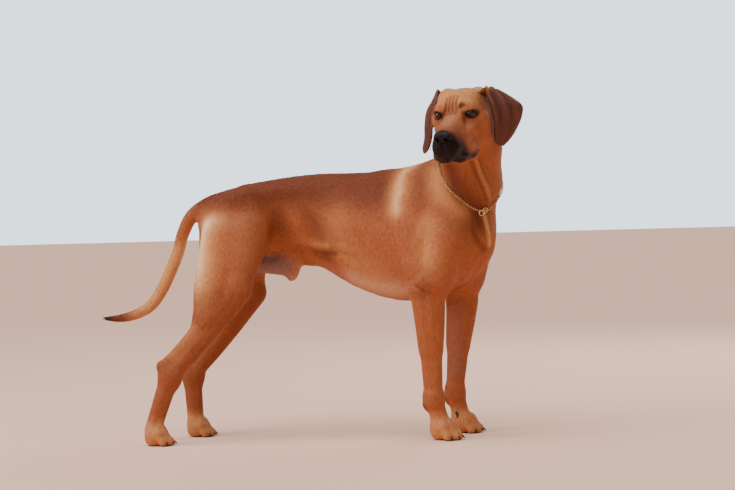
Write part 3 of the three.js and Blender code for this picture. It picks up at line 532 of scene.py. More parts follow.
def fore_leg(p, leg):
    elbow, point, wrist, knuckle = (leg[k] for k in ("elbow", "point", "wrist", "knuckle"))
    middle = between(elbow, wrist, .5)
    return run_together(
        rod(p, at(elbow, 0, 0, .01), wrist, .033, .023, 0, .80, ARM_AXIS),
        (rod(p, at(elbow, .004, 0, -.02), middle, .034, .024, .002, .80, ARM_AXIS), .02),
        (rod(p, point, at(point, .012, 0, -.06), .015, .011), .02),
        (egg(p, at(wrist, 0, 0, -.002), (.0235, .0205, .026)), .012),
        (rod(p, at(wrist, -.018, 0, -.018), at(wrist, -.016, 0, -.024), .009, .008), .010),
        (rod(p, wrist, knuckle, .022, .022, 0, .92, ARM_AXIS), .012))


def fore_folds(leg):
    """The straps of muscle down the forearm, the fold at the elbow, and the wrist's bones and cords."""
    elbow, point, wrist, out = (leg[k] for k in ("elbow", "point", "wrist", "out"))

    def form(p):
        return fore_leg(p, leg)

    rows = [
        ([at(between(elbow, wrist, t), -.008 + .008 * t, .030 * out) for t in (.0, .35, .80)], .006, .0028),
        ([at(between(elbow, wrist, t), .014 - .004 * t, .028 * out) for t in (.05, .35, .65)], .007, .0018),
        ([at(point, -.010, 0, .014), at(elbow, .004, .03 * out, .006), at(elbow, .03, .03 * out, .010)],
         .007, .0036),
        ([at(wrist, -.014, .02 * out, .02), at(wrist, .0, .022 * out, .016),
          at(wrist, .016, .012 * out, .018)], .005, .0014),
        ([at(wrist, .012, .016 * out, -.022), at(wrist, .016, .014 * out, -.05)], .004, .0012),
        ([at(wrist, .018, -.004 * out, .05), at(wrist, .020, -.004 * out, -.03)], .004, .0012),
    ]
    return [fold(form, *row) for row in rows]


def foot_frame(leg):
    """A function for places on the foot, and the ways ahead and aside from its root on the ground."""
    turn, size = math.radians(leg["heading"]), leg["size"]
    ahead = np.array((math.cos(turn), math.sin(turn), 0))
    aside = np.array((-math.sin(turn), math.cos(turn), 0))
    root = np.array((leg["knuckle"][0], leg["knuckle"][1], 0))

    def spot(forward, left, up):
        return root + (ahead * forward + aside * left + np.array((0, 0, up))) * size

    return spot, ahead, aside, root


def paw(p, leg):
    size = leg["size"]
    spot, ahead, aside, root = foot_frame(leg)
    local = np.stack([(p - root) @ ahead, (p - root) @ aside, p[:, 2]], -1).astype(np.float32) / size
    d = rod(p, spot(-.001, -.009, .026), spot(-.001, .009, .026), .020 * size, .020 * size)
    d = blend(d, egg(local, (.004, 0, .014), (.026, .028, .017)) * size, .010)
    for out, reach in TOES:
        joint = spot(reach * .55, out * .85, .030)
        d = blend(d, rod(p, spot(0, out * .5, .026), joint, .015 * size, .0125 * size), .008)
        d = blend(d, rod(p, joint, spot(reach, out, .010), .0122 * size, .0108 * size), .005)
    return d


def paw_folds(leg):
    """The clefts between the toes, and the knuckle of each."""
    spot, size = foot_frame(leg)[0], leg["size"]

    def form(p):
        return paw(p, leg)

    rows = []
    for out in (-.0165, 0, .0165):
        rows.append(([spot(.010, out * .55, .046), spot(.028, out * .9, .042), spot(.045, out * 1.02, .026),
                      spot(.050, out * 1.06, .006)], .0036 * size, .0046 * size))
    for out, reach in TOES:
        rows.append(([spot(reach * .50, out * .85, .045), spot(reach * .62, out * .88, .044)],
                     .0065 * size, -.0016 * size))
        rows.append(([spot(reach + .002, out - .005, .026), spot(reach + .002, out + .005, .026)],
                     .0035 * size, .0012 * size))
    return [fold(form, *row) for row in rows]


# ---------------------------------------------------------------- tail and neck
# The tail hangs from the croup and curls out at the tip. The neck carries a crest behind, the
# windpipe in front, and two straps of muscle from the jaw to the breastbone.
TAIL = [
    (-.190, -.062, .570, .026), (-.238, -.058, .562, .021), (-.282, -.047, .536, .0175),
    (-.307, -.030, .493, .0162), (-.321, -.018, .450, .016), (-.343, -.008, .400, .016),
    (-.368, 0, .353, .0158), (-.394, 0, .320, .015), (-.427, 0, .301, .0135), (-.462, 0, .2925, .011),
    (-.490, 0, .2915, .0075), (-.514, 0, .293, .0028),
]
TAIL_FINE = [tuple(row) for row in curve_through(TAIL, 45)]
NECK = [(.351, -.165, .535, .086), (.379, -.189, .605, .074), (.388, -.212, .675, .064),
        (.382, -.235, .735, .056)]


def tail(p):
    return chain_of_rods(p, TAIL_FINE)


def neck_form(p):
    straps = [(rod(p, bend(.400, .012 * s, .485), from_head((-62, 38 * s, -62)), .019, .022, .004), .012)
              for s in (-1, 1)]
    return run_together(
        chain_of_rods(p, NECK, .02),
        (rod(p, bend(.285, 0, .588), (.372, -.188, .660), .036, .034), .03),               # crest
        *straps,
        (rod(p, bend(.385, 0, .54), from_head((-48, 0, -64)), .030, .028), .02))           # windpipe


# ---------------------------------------------------------------- head
# A broad flat skull, a stop between the eyes, a long deep muzzle with loose lips, and lids that
# close round the eyes. Its lengths are millimetres in the head's own frame, grown by one factor.
HEAD_AT = np.array((.342, -.330, .751))
HEAD_SIZE = 1.07
HEAD_YAW, HEAD_NOD, HEAD_TIP = np.radians((19.3, 17.3, 0.7))
EYE_AT, EYE_RADIUS = (-8, 34, -1), 12.6


def head_axes():
    level = np.array((-math.sin(HEAD_YAW), -math.cos(HEAD_YAW), 0))
    side = np.array((math.cos(HEAD_YAW), -math.sin(HEAD_YAW), 0))
    up = np.array((0, 0, 1.0))
    fore = level * math.cos(HEAD_NOD) - up * math.sin(HEAD_NOD)
    crown = up * math.cos(HEAD_NOD) + level * math.sin(HEAD_NOD)
    return np.stack([fore, side * math.cos(HEAD_TIP) + crown * math.sin(HEAD_TIP),
                     crown * math.cos(HEAD_TIP) - side * math.sin(HEAD_TIP)], 1)


HEAD_AXES = head_axes()
HEAD_UNIT = HEAD_SIZE / 1000


def from_head(q):
    return HEAD_AT + (np.asarray(q, float) @ HEAD_AXES.T) * HEAD_UNIT


def to_head(p):
    return (((p - HEAD_AT.astype(np.float32)) @ HEAD_AXES.astype(np.float32)) / HEAD_UNIT).astype(np.float32)


def muzzle(q, m):
    lip = run_together(
        rod(m, (88, 10, -56), (56, 19, -70), 14, 17),
        (rod(m, (56, 19, -70), (26, 27, -76), 17, 15.5), 14),
        (rod(m, (26, 27, -76), (8, 32, -73), 15.5, 12), 14),
        (egg(m, (20, 33, -77), (17, 9, 12)), 18))                                          # lip's corner
    return run_together(
        rod(q, (4, 0, -14), (90, 0, -21), 19, 14.5, 0, 1.55, SIDEWAYS),
        (rod(m, (0, 22, -38), (84, 13, -44), 21, 17), 16),
        (lip, 18))


EYE_TURN, EYE_LEVEL = np.radians((24, 5))     # how far each eye looks out, and its slit slopes down outside
LID_HALF, LID_OPEN = 10.6, 7.4                # half the slit's length, and half its height
LID_RADIUS, LID_REACH = 14.3, 7               # the dome of the lids over the ball
BALL_ROOM = 11.4                              # how near the ball's middle the slit is cut
RIM_PROUD, RIM_WIDE = 0.9, 1.5
CREASE_DEEP, CREASE_WIDE = (2.0, 1.5), 1.6    # above the eye, and below it


def eye_frame(m):
    """Offsets from the eye's middle: along its gaze, along the lids' slit outward, and up."""
    o = m - np.array(EYE_AT, np.float32)
    gaze = o[:, 0] * math.cos(EYE_TURN) + o[:, 1] * math.sin(EYE_TURN)
    out = -o[:, 0] * math.sin(EYE_TURN) + o[:, 1] * math.cos(EYE_TURN)
    return (gaze, out * math.cos(EYE_LEVEL) - o[:, 2] * math.sin(EYE_LEVEL),
            out * math.sin(EYE_LEVEL) + o[:, 2] * math.cos(EYE_LEVEL))


def lids(d, m):
    """Lids over the ball, an almond slit between them, and the folds above and below."""
    gaze, out, up = eye_frame(m)
    r = ball(m, EYE_AT, 0)
    d = blend(d, r - LID_RADIUS, LID_REACH)
    opening = np.where(up > 0, LID_OPEN - 0.3, LID_OPEN - 0.9)
    slit = (np.abs(up) / opening + (out / LID_HALF) ** 2 - 1) * 5
    slit = np.where(gaze > 0, slit, 20)
    front = step(2, 8, gaze)
    d = d - RIM_PROUD * np.exp(-((slit - 1.8) / RIM_WIDE) ** 2) * front * (r < 19)
    d = np.maximum(d, -np.maximum(slit, BALL_ROOM - r))
    above = np.abs(up - (9.4 - 0.045 * out ** 2))
    d += CREASE_DEEP[0] * np.exp(-(above / CREASE_WIDE) ** 2) * step(17, 12, np.abs(out)) * front
    below = np.abs(up + 9.0 - 0.035 * out ** 2)
    return d + CREASE_DEEP[1] * np.exp(-(below / CREASE_WIDE) ** 2) * step(15, 10, np.abs(out)) * front


def muzzle_and_skull(q):
    """The head in its own frame, without its folds and lids."""
    m = mirrored(q)
    cheekbone = blend(rod(m, (4, 35, -26), (-30, 47, -17), 10, 12),
                      rod(m, (-30, 47, -17), (-78, 47, -8), 12, 15), 8)
    jaw = run_together(
        rod(q, (86, 0, -71), (40, 0, -74), 10.5, 14),
        (rod(q, (40, 0, -74), (-10, 0, -72), 14, 20), 8),
        (rod(m, (58, 11, -70), (-46, 35, -56), 12, 22), 10))
    d = run_together(
        egg(q, (-70, 0, -8), (60, 55, 46)),
        (egg(q, (-38, 0, 4), (37, 49, 39)), 16),
        (egg(m, (-12, 27, 11), (17, 19, 14)), 14),                                         # brow
        (rod(m, (-48, 31, 27), (-80, 36, 24), 14.5, 14), 14),                              # ear roots
        (cheekbone, 18),
        (egg(m, (-50, 38, -40), (36, 21, 34)), 22),                                        # cheek
        (muzzle(q, m), 18),
        (jaw, 7),
        (egg(q, (-56, 0, -56), (46, 37, 32)), 20),                                         # throat
        (egg(q, (92, 0, -49), (12, 19, 19)), 10))                                          # upper lip
    return hollow(d, -ball(m, (19, 36, -8), 8), 16)                                        # eye corner


FURROWS = [(-20, 2, -15, 24), (-12, -4, -8, 34), (-4, -5, -1, 35), (4, 0, 6, 33)]


# the mouth, the hollows of the face and the whisker beds on both sides; then the forehead's
# furrows, the curled fold over the left eye and the cleft of the lip
FACE_BESIDE = [
    ([(101, 3, -66), (96, 9, -67), (86, 17, -71), (68, 24, -78), (46, 30, -82), (28, 38, -84),
      (12, 44, -84)], 2.8, 4.6),
    ([(94, 10, -60), (84, 19, -63), (66, 26, -70), (46, 32, -74), (28, 38, -75), (10, 45, -76)],
     3.4, -1.6),
    ([(8, 27, -14), (22, 27, -24), (34, 24, -33)], 5, 2.2),
    ([(4, 40, -20), (-8, 50, -30), (-18, 56, -44)], 5, 2.0),
    ([(8, 44, -58), (2, 47, -72), (-10, 46, -88)], 4, 2.4),
    ([(14, 40, -48), (6, 44, -58), (-2, 47, -70)], 4, -1.4),
    ([(60, 24, -30), (40, 30, -34), (24, 34, -42)], 6, -1.2),
    ([(-20, 50, -8), (-45, 56, -6), (-70, 58, -4)], 6, 1.6),
] + [([(84 - 9 * i, 22 + 2.2 * i, h - 1.5 * i), (83 - 9 * i, 23 + 2.2 * i, h - .5 - 1.5 * i)], 1.7, .7)
     for h in (-46, -53, -60) for i in range(5)]
FACE = [([(8, foot, low), (3, foot * .7 + top * .3 + 1.3, .7 * low + .3 * high),
          (-4, foot * .3 + top * .7 - 1.0, .3 * low + .7 * high), (-20, top, high)], 2.4, 5.2)
        for foot, low, top, high in FURROWS] + [
    ([(16, 0, -6), (34, 0, -4), (52, 0, -3)], 4, 1.2),
    ([(-14, 0, 30), (-40, 0, 36), (-70, 0, 37)], 7, 1.2),
    ([(3, 10.5, 19), (0, 13.5, 28), (-4, 19, 32), (-4, 25, 28), (-2, 29.5, 20)], 2.6, -2.6),
    ([(2, 16, 17), (0, 18.5, 21), (0, 22, 20)], 4.0, 2.2),
    ([(6, -18, 14), (0, -25, 19), (-5, -34, 18)], 2.6, -1.6),
    ([(6, -18, 19), (0, -26, 24), (-6, -36, 22)], 2.4, 1.4),
    ([(106, 0, -33), (107, 0, -48), (103, 0, -62)], 1.8, 2.2),
]
FACE_FOLDS_BESIDE = [fold(muzzle_and_skull, *row) for row in FACE_BESIDE]
FACE_FOLDS = [fold(muzzle_and_skull, *row) for row in FACE]


def head(p):
    q = to_head(p)
    near_head = np.linalg.norm(q + np.float32((10, 0, 20)), axis=1) < 190
    d = muzzle_and_skull(q)
    q = q[near_head]
    m = mirrored(q)
    d[near_head] = lids(d[near_head] + carved(q, FACE_FOLDS) + carved(m, FACE_FOLDS_BESIDE), m)
    return d * HEAD_UNIT


# the strap of muscle from the mouth's corner to the breast, and the folds beside it
STRAP = [(.390, -.277, .650), (.402, -.266, .617), (.415, -.256, .586), (.425, -.244, .555)]
NECK_ROWS = [
    ([*STRAP, (.428, -.236, .525)], .0062, -.0054),
    ([(.382, -.282, .645), (.392, -.272, .611), (.404, -.264, .582), (.413, -.252, .555),
      (.414, -.244, .525)], .0050, .0050),
    ([(.401, -.266, .648), (.413, -.256, .625), (.425, -.246, .596), (.433, -.238, .561)], .0052, .0042),
    ([(.346, -.285, .643), (.358, -.284, .634), (.366, -.276, .618)], .0045, -.0028),
    ([(.352, -.285, .640), (.364, -.280, .628), (.372, -.270, .610)], .0045, .0028),
    ([(.330, -.262, .620), (.345, -.266, .585), (.360, -.262, .545)], .0070, .0026),
]
NECK_FOLDS = [fold(neck_form, *row) for row in NECK_ROWS]


def neck(p):
    return neck_form(p) + carved(p, NECK_FOLDS)


# ---------------------------------------------------------------- the skin's surface
# The forms run together into one hide, drawn in by the coat's depth. A net of squares is laid on
# it, made finer on the head and feet, and each knot is then set exactly on the form.
COAT_DEPTH, SHORT_DEPTH = .0012, .0006
NET_STEP = 1.25 * .0048     # the side of a square, before any are made finer
CHUNK = 4                   # squares to a side of the blocks that are searched, or left out, as one
BATCH = 300000              # points that a form is asked about at once


def depth_of_coat(p):
    on_head = step(.17, .12, np.linalg.norm(p - HEAD_AT.astype(np.float32), axis=1))
    on_foot = step(.07, .04, p[:, 2])
    return COAT_DEPTH + (SHORT_DEPTH - COAT_DEPTH) * np.maximum(on_head, on_foot)


HIND_FOLDS = {side: hind_folds(leg) + paw_folds(leg) for side, leg in HIND.items()}
FORE_FOLDS = {side: fore_folds(leg) + paw_folds(leg) for side, leg in FORE.items()}


def with_legs(p, d, legs, leg_form, reach):
    """Blends a pair of legs, and their feet near the ground, into a form."""
    for leg in legs.values():
        d = blend(d, leg_form(p, leg), reach)
    low = p[:, 2] < .12
    for leg in legs.values():
        d[low] = blend(d[low], paw(p[low], leg), .016)
    return d


def flesh(p):
    p = np.asarray(p, np.float32)
    d = trunk(p)
    rear = p[:, 0] < .06
    q = p[rear]
    if len(q):
        dq = blend(with_legs(q, d[rear], HIND, hind_leg, .030), tail(q), .012)
        d[rear] = dq + carved(q, HIND_FOLDS["right"]) + carved(q, HIND_FOLDS["left"])
    low = (p[:, 0] > .12) & (p[:, 2] < .50)
    q = p[low]
    if len(q):
        dq = with_legs(q, d[low], FORE, fore_leg, .022)
        d[low] = dq + carved(q, FORE_FOLDS["right"]) + carved(q, FORE_FOLDS["left"])
    high = (p[:, 0] > .12) & (p[:, 2] > .40)
    q = p[high]
    if len(q):
        d[high] = blend(d[high], blend(neck(q), head(q), .030), .035)
    return np.maximum(d + depth_of_coat(p), .0004 - p[:, 2])


def net_over(form, low, high, size):
    """Lays a net of squares on a form's surface: its knots, and the squares' corners."""
    low = np.array(low, float)
    count = np.ceil((np.array(high) - low) / size / CHUNK).astype(int) * CHUNK + 1
    blocks = (count - 1) // CHUNK
    middles = [low[k] + size * CHUNK * (np.arange(blocks[k]) + .5) for k in range(3)]
    grid = np.stack(np.meshgrid(*middles, indexing="ij"), -1).reshape(-1, 3)
    close = np.abs(form(grid.astype(np.float32))).reshape(blocks) < size * CHUNK * 1.5
    wanted = np.zeros(count, bool)
    for i, j, k in np.argwhere(close) * CHUNK:
        wanted[i:i + CHUNK + 1, j:j + CHUNK + 1, k:k + CHUNK + 1] = True
    field = np.full(count, np.nan, np.float32)
    spots = (low + np.argwhere(wanted) * size).astype(np.float32)
    field[wanted] = np.concatenate([form(spots[s:s + BATCH]) for s in range(0, len(spots), BATCH)])
    corners = [(a, b, c) for a in (0, 1) for b in (0, 1) for c in (0, 1)]
    cube = np.stack([field[a:count[0] - 1 + a, b:count[1] - 1 + b, c:count[2] - 1 + c]
                     for a, b, c in corners], -1)
    crossed = ~np.isnan(cube).any(-1) & (cube < 0).any(-1) & (cube >= 0).any(-1)
    cells, values = np.argwhere(crossed), cube[crossed]
    number = np.full(count - 1, -1, int)
    number[crossed] = np.arange(len(cells))
    total, hits = np.zeros((len(cells), 3)), np.zeros(len(cells))
    for i in range(8):
        for j in range(i + 1, 8):
            a, b = np.array(corners[i]), np.array(corners[j])
            if np.abs(a - b).sum() != 1:
                continue
            cut = (values[:, i] < 0) != (values[:, j] < 0)
            share = values[cut, i] / (values[cut, i] - values[cut, j])
            total[cut] += a + share[:, None] * (b - a)
            hits[cut] += 1
    knots = low + (cells + total / hits[:, None]) * size
    squares = []
    for axis in range(3):
        u, v = (axis + 1) % 3, (axis + 2) % 3
        here, there = [slice(None)] * 3, [slice(None)] * 3
        here[axis], there[axis] = slice(0, count[axis] - 1), slice(1, count[axis])
        a, b = field[tuple(here)], field[tuple(there)]
        edge = np.argwhere(~np.isnan(a) & ~np.isnan(b) & ((a < 0) != (b < 0)))
        edge = edge[(edge[:, u] > 0) & (edge[:, v] > 0)
                    & (edge[:, u] < count[u] - 1) & (edge[:, v] < count[v] - 1)]
        du, dv = np.eye(3, dtype=int)[u], np.eye(3, dtype=int)[v]
        ring = [number[tuple((edge - back).T)] for back in (du + dv, dv, du * 0, du)]
        square = np.stack(ring, 1)
        outward = a[tuple(edge.T)] < 0
        square[~outward] = square[~outward][:, ::-1]
        squares.append(square[(square >= 0).all(1)])
    return knots, np.concatenate(squares)


def made_finer(knots, squares, chosen):
    """Splits the chosen squares in four, and fills in round them."""
    made = bmesh.new()
    for knot in knots:
        made.verts.new(knot)
    made.verts.ensure_lookup_table()
    for square in squares:
        made.faces.new([made.verts[i] for i in square])
    made.faces.ensure_lookup_table()
    edges = {e for f, wanted in zip(made.faces, chosen) if wanted for e in f.edges}
    bmesh.ops.subdivide_edges(made, edges=list(edges), cuts=1, use_grid_fill=True)
    made.verts.index_update()
    points = np.array([v.co[:] for v in made.verts])
    faces = [tuple(v.index for v in f.verts) for f in made.faces]
    made.free()
    return points, faces


def evened(points, edges, amount, rounds):
    """Draws each point towards the middle of its neighbours, by its own amount."""
    for _ in range(rounds):
        total, count = np.zeros_like(points), np.zeros(len(points))
        for a, b in (edges.T, edges.T[::-1]):
            np.add.at(total, a, points[b])
            np.add.at(count, a, 1)
        middle = total / np.maximum(count, 1)[:, None]
        points = points + (middle - points) * amount[:, None]
    return points


def face_edges(faces):
    pairs = {tuple(sorted((f[i - 1], f[i]))) for f in faces for i in range(len(f))}
    return np.array(sorted(pairs))


def ring_faces(rings, around, closed=False):
    """The squares between rings of points, all with as many points; closed joins the last to the first."""
    faces = []
    for i in range(rings if closed else rings - 1):
        here, there = i * around, (i + 1) % rings * around
        for j in range(around):
            beyond = (j + 1) % around
            faces.append((here + j, here + beyond, there + beyond, there + j))
    return faces


def solid(name, points, faces):
    """A closed smooth mesh with its faces turned outwards, as a new object."""
    mesh = bpy.data.meshes.new(name)
    mesh.from_pydata([tuple(p) for p in np.asarray(points) + 0.0], [],
                     [tuple(int(i) for i in f) for f in faces])
    shell = bmesh.new()
    shell.from_mesh(mesh)
    bmesh.ops.remove_doubles(shell, verts=shell.verts, dist=1e-7)
    bmesh.ops.recalc_face_normals(shell, faces=shell.faces)
    shell.to_mesh(mesh)
    shell.free()
    mesh.polygons.foreach_set("use_smooth", [True] * len(mesh.polygons))
    return placed(name, mesh)


def evaluated(thing):
    """An object's mesh as its modifiers make it."""
    return bpy.data.meshes.new_from_object(thing.evaluated_get(bpy.context.evaluated_depsgraph_get()))


def points_of(mesh):
    flat = np.empty(len(mesh.vertices) * 3, np.float32)
    mesh.vertices.foreach_get("co", flat)
    return flat.reshape(-1, 3)


# ---------------------------------------------------------------- ears
# Thin flaps of skin and gristle, folded lengthwise, that hang from high on the skull. The right one
# hangs straight, the left one is blown out. Each is lofted, and later grown into the hide.
EARS = {    # left and right, in rows from the root down: the front edge, the back edge, and the swell
    1: [
        ((-46, 40, 30), (-88, 46, 12), 0), ((-50, 58, 43), (-92, 70, 19), 3),
        ((-46, 60, 28), (-94, 92, 14), 6), ((-42, 67, 6), (-88, 124, -9), 7),
        ((-40, 71, -28), (-86, 122, -34), 6), ((-44, 68, -55), (-78, 109, -60), 5),
        ((-50, 66, -75), (-72, 94, -80), 3), ((-56, 71, -88), (-62, 81, -91), 1),
    ],
    -1: [
        ((-46, 36, 32), (-88, 42, 14), 0), ((-47, 42, 41), (-92, 52, 28), 3),
        ((-39, 45, 24), (-96, 64, 12), 6), ((-33, 52, -4), (-93, 86, -14), 8),
        ((-30, 59, -34), (-88, 94, -42), 7), ((-32, 67, -62), (-76, 96, -68), 5),
        ((-38, 79, -84), (-62, 101, -87), 3), ((-45, 92, -96), (-52, 97, -96), 1),
    ],
}
EAR_THICK, EAR_EDGE = 2.7, 1.1
EAR_FOLDS = [(.07, .07, 3.8), (.22, .07, -4.2), (.40, .08, 3.6), (.58, .08, -3.8), (.76, .10, 2.6)]
EAR_ROWS, EAR_ACROSS = 54, 18


def ear_flap(rows, side):
    front, back = (curve_through([row[k] for row in rows], EAR_ROWS) for k in (0, 1))
    swell = curve_through([(row[2],) for row in rows], EAR_ROWS)
    u = (1 - np.cos(np.linspace(0, math.pi, EAR_ACROSS + 1))) / 2
    sheet = front[:, None] * (1 - u)[None, :, None] + back[:, None] * u[None, :, None]
    out = np.cross(back - front, np.gradient((front + back) / 2, axis=0))
    out *= np.sign(out[:, 1:2]) / np.linalg.norm(out, axis=1, keepdims=True)
    dome = 4 * u * (1 - u)
    down = np.linspace(0, 1, EAR_ROWS)[:, None]
    pleats = sum(depth * np.exp(-((u - place) / width) ** 2) for place, width, depth in EAR_FOLDS)
    lift = dome[None] * swell + pleats[None] * step(.06, .20, down) * step(1.0, .60, down)
    half = (EAR_EDGE + (EAR_THICK - EAR_EDGE) * np.sqrt(dome)) / 2
    outer = sheet + out[:, None] * (lift + half)[..., None]
    inner = sheet + out[:, None] * (lift - half)[..., None]
    rings = np.concatenate([outer, inner[:, ::-1]], 1) * (1, side, 1)
    count = rings.shape[1]
    faces = ring_faces(EAR_ROWS, count)
    for start in (0, (EAR_ROWS - 1) * count):
        end = start + count - 1
        faces += [(start + j, start + j + 1, end - 1 - j, end - j) for j in range(EAR_ACROSS)]
    return from_head(rings.reshape(-1, 3)), faces


ear_meshes = [ear_flap(rows, side) for side, rows in EARS.items()]
ear_trees = [BVHTree.FromPolygons([tuple(p) for p in points], faces) for points, faces in ear_meshes]


def from_ears(p):
    """How far each point near the head is from the ears' flaps."""
    gap = np.full(len(p), 1.0, np.float32)
    for i in np.flatnonzero(np.linalg.norm(p - HEAD_AT, axis=1) < .22):
        gap[i] = min(tree.find_nearest(Vector(p[i]))[3] for tree in ear_trees)
    return gap


# ---------------------------------------------------------------- hide
# One skin over the whole dog, with the ears joined on without a seam. It stands for all of the
# CAD model's flesh, and its markings, with painted shade and painted highlights, are kept on it as masks
# that the finish mixes.
low, high = (np.array(c) - STAND for c in cad_box)
knots, squares = net_over(flesh, low - .012, high + .012, NET_STEP)
squares = [tuple(s) for s in squares]


def middles(points, faces):
    return np.array([points[list(f)].mean(0) for f in faces], np.float32)


def needs_detail(p):
    q = to_head(p)
    on_tail = (p[:, 0] < -.30) & (tail(p) < .006)
    return (np.linalg.norm(q + (10, 0, 20), axis=1) < 140) | (p[:, 2] < .07) | on_tail


def needs_most(p):
    q = to_head(p)
    return (q[:, 0] > -26) & (np.abs(q[:, 1]) < 62) & (q[:, 2] > -95) & (q[:, 2] < 30)


def evenly(knots, squares, rounds):
    return evened(knots, face_edges(squares), np.full(len(knots), .35), rounds)


for region in (needs_detail, needs_most):
    knots = settle(flesh, evenly(knots, squares, 2))
    knots, squares = made_finer(knots, squares, region(middles(knots, squares)))
knots = settle(flesh, evenly(knots, squares, 3), 3)

skin = solid("skin", knots, squares)
for points, faces in ear_meshes:
    ear = solid("ear", points, faces)
    joined = skin.modifiers.new("ear", "BOOLEAN")
    joined.operation = "UNION"
    joined.solver = "MANIFOLD"
    joined.object = ear
    whole = evaluated(skin)
    skin.modifiers.clear()
    skin.data = whole
    bpy.data.objects.remove(ear)
skin.data.name = "skin"

points = points_of(skin.data).copy()
near_root = (step(.007, .003, from_ears(points)) * step(.006, .002, np.abs(flesh(points)))).astype(float)
edges = np.array([e.vertices[:] for e in skin.data.edges])
points = evened(points, edges, .5 * near_root, 8)
skin.data.vertices.foreach_set("co", (points + STAND).astype(np.float32).ravel())
skin.data.polygons.foreach_set("use_smooth", [True] * len(skin.data.polygons))
skin.data.materials.clear()


def near(p, line, width):
    """A soft mark along a line."""
    return np.exp(-(from_line(p, line) / width) ** 2)


def marked(mask, p, marks):
    """A mask with soft marks laid over it, each from its strength, its line and its width."""
    for strength, line, width in marks:
        mask = np.maximum(mask, strength * near(p, line, width))
    return mask


def beside(points):
    """Places on the right flank, as body measures on either side."""
    return mirrored(unbend(np.array(points, np.float32)))


def on_skin(form, points, limit=.01):
    """A line of marks set down on the surface that it colours."""
    return settle(form, points, 8, limit)


BAND = beside([(.239, -.146, .640), (.213, -.180, .586), (.205, -.200, .540)])      # behind the shoulder
SCAPULA = beside([(.272, -.180, .640), (.263, -.205, .599), (.262, -.222, .545)])
NECK_SIDE = beside([(.296, -.207, .631), (.314, -.248, .569), (.359, -.253, .536)])
HAUNCH_REAR = beside([(-.228, -.128, .512), (-.250, -.140, .462), (-.258, -.165, .390),
                      (-.262, -.178, .352)])
# The line of painted shade under the head, down the front of the neck.
THROAT_SHADE = [*on_skin(neck_form, [(.327, -.255, .635), (.338, -.255, .608), (.356, -.250, .577),
                               (.382, -.245, .548)]), (.398, -.238, .505)]
# The breast's groove, where shade is painted.
BREAST_GROOVE_SHADE = on_skin(flesh, [(.378, -.235, .520), (.376, -.240, .495), (.385, -.235, .468),
                                (.398, -.220, .445)])
# The breastbone's ridge, where a highlight is painted.
BREAST_HIGHLIGHT = on_skin(flesh, [(.409, -.235, .518), (.409, -.222, .488), (.405, -.210, .456)])
MASK_SIDE = on_skin(muzzle_and_skull, [(100, 12, -45), (80, 20, -62), (52, 30, -76), (30, 40, -80),
                                       (20, 42, -78)], 4)
NOSE_TOP = on_skin(muzzle_and_skull, [(104, -9, -18), (99, 0, -6), (102, 10, -20)], 4)
EYE_CORNER = on_skin(muzzle_and_skull, [(6, 20, 4), (8, 20, -6), (14, 18, -16)], 4)
# The flank's fold, where shade is painted.
FLANK_FOLD_SHADE = [(-.088, .060, .450), (-.051, .060, .441), (.020, .055, .438), (.076, .070, .440)]
# The armpit, where shade is painted.
ARMPIT_SHADE = [(.402, -.150, .410), (.378, -.160, .372), (.354, -.165, .345)]

DARK_AND_SHADE_BESIDE = [       # marks alike on both flanks, in body measures: strength, line and width; darker hair, and painted shade along the flank's fold
    (.80, [(-.078, .07, .55), (-.066, .08, .47)], .035),
    (.75, [(-.03, .06, .58), (.02, .08, .52), (.05, .085, .47)], .034),
    (.75, [(-.15, .08, .50), (-.16, .09, .42), (-.19, .10, .34)], .034),
    # Painted shade under the flank's fold.
    (.85, [(-.06, .05, .442), (.02, .06, .432), (.06, .06, .428)], .018),
    (.50, SCAPULA, .018),
]
GOLD_AND_HIGHLIGHT_BESIDE = [
    (.22, [(.09, .088, .52), (.07, .09, .47), (.12, .09, .43), (.20, .095, .380)], .040),
    (.45, [(.345, .105, .50), (.350, .105, .43)], .030),
    (.14, [(-.175, .10, .505), (-.165, .11, .425)], .036),
    # Painted highlight along the top of the flank's fold.
    (.50, [(-.075, .07, .470), (.0, .075, .464), (.055, .08, .458)], .011),
]
CREAM_BESIDE = [
    (.18, BAND, .014),
    (.70, [(-.21, .02, .49), (-.24, .02, .43)], .028),
    (.32, [(.12, .05, .375), (.20, .06, .350), (.26, .06, .345)], .030),
]
SHADE_ONCE = [         # painted shade in one place only, in the model's own measures: beside the neck's strap, in the breast's groove and in the near elbow's fold
    (.90, np.array(STRAP) + (-.0085, 0, -.003), .0055),
    (.90, np.array(STRAP) + (.0095, 0, -.003), .0055),
    (.85, BREAST_GROOVE_SHADE, .0085),
    (.60, [(.275, -.250, .368), (.262, -.250, .350)], .024),
]
GOLD_AND_HIGHLIGHT_ONCE = [
    # Painted highlights along the breastbone and the neck's strap, painted light on the chest's shaded
    # front, and a golden mark high on the neck's front.
    (.80, BREAST_HIGHLIGHT, .0065),
    (.50, STRAP, .0055),
    (.50, [(.432, -.175, .500), (.425, -.150, .430)], .040),
    (.40, [(.445, -.215, .690), (.452, -.200, .620)], .032),
]
FURROW_FOLDS = FACE_FOLDS[:len(FURROWS)]
CURL_FOLD, HOLLOW_FOLD = FACE_FOLDS[len(FURROWS) + 2:len(FURROWS) + 4]


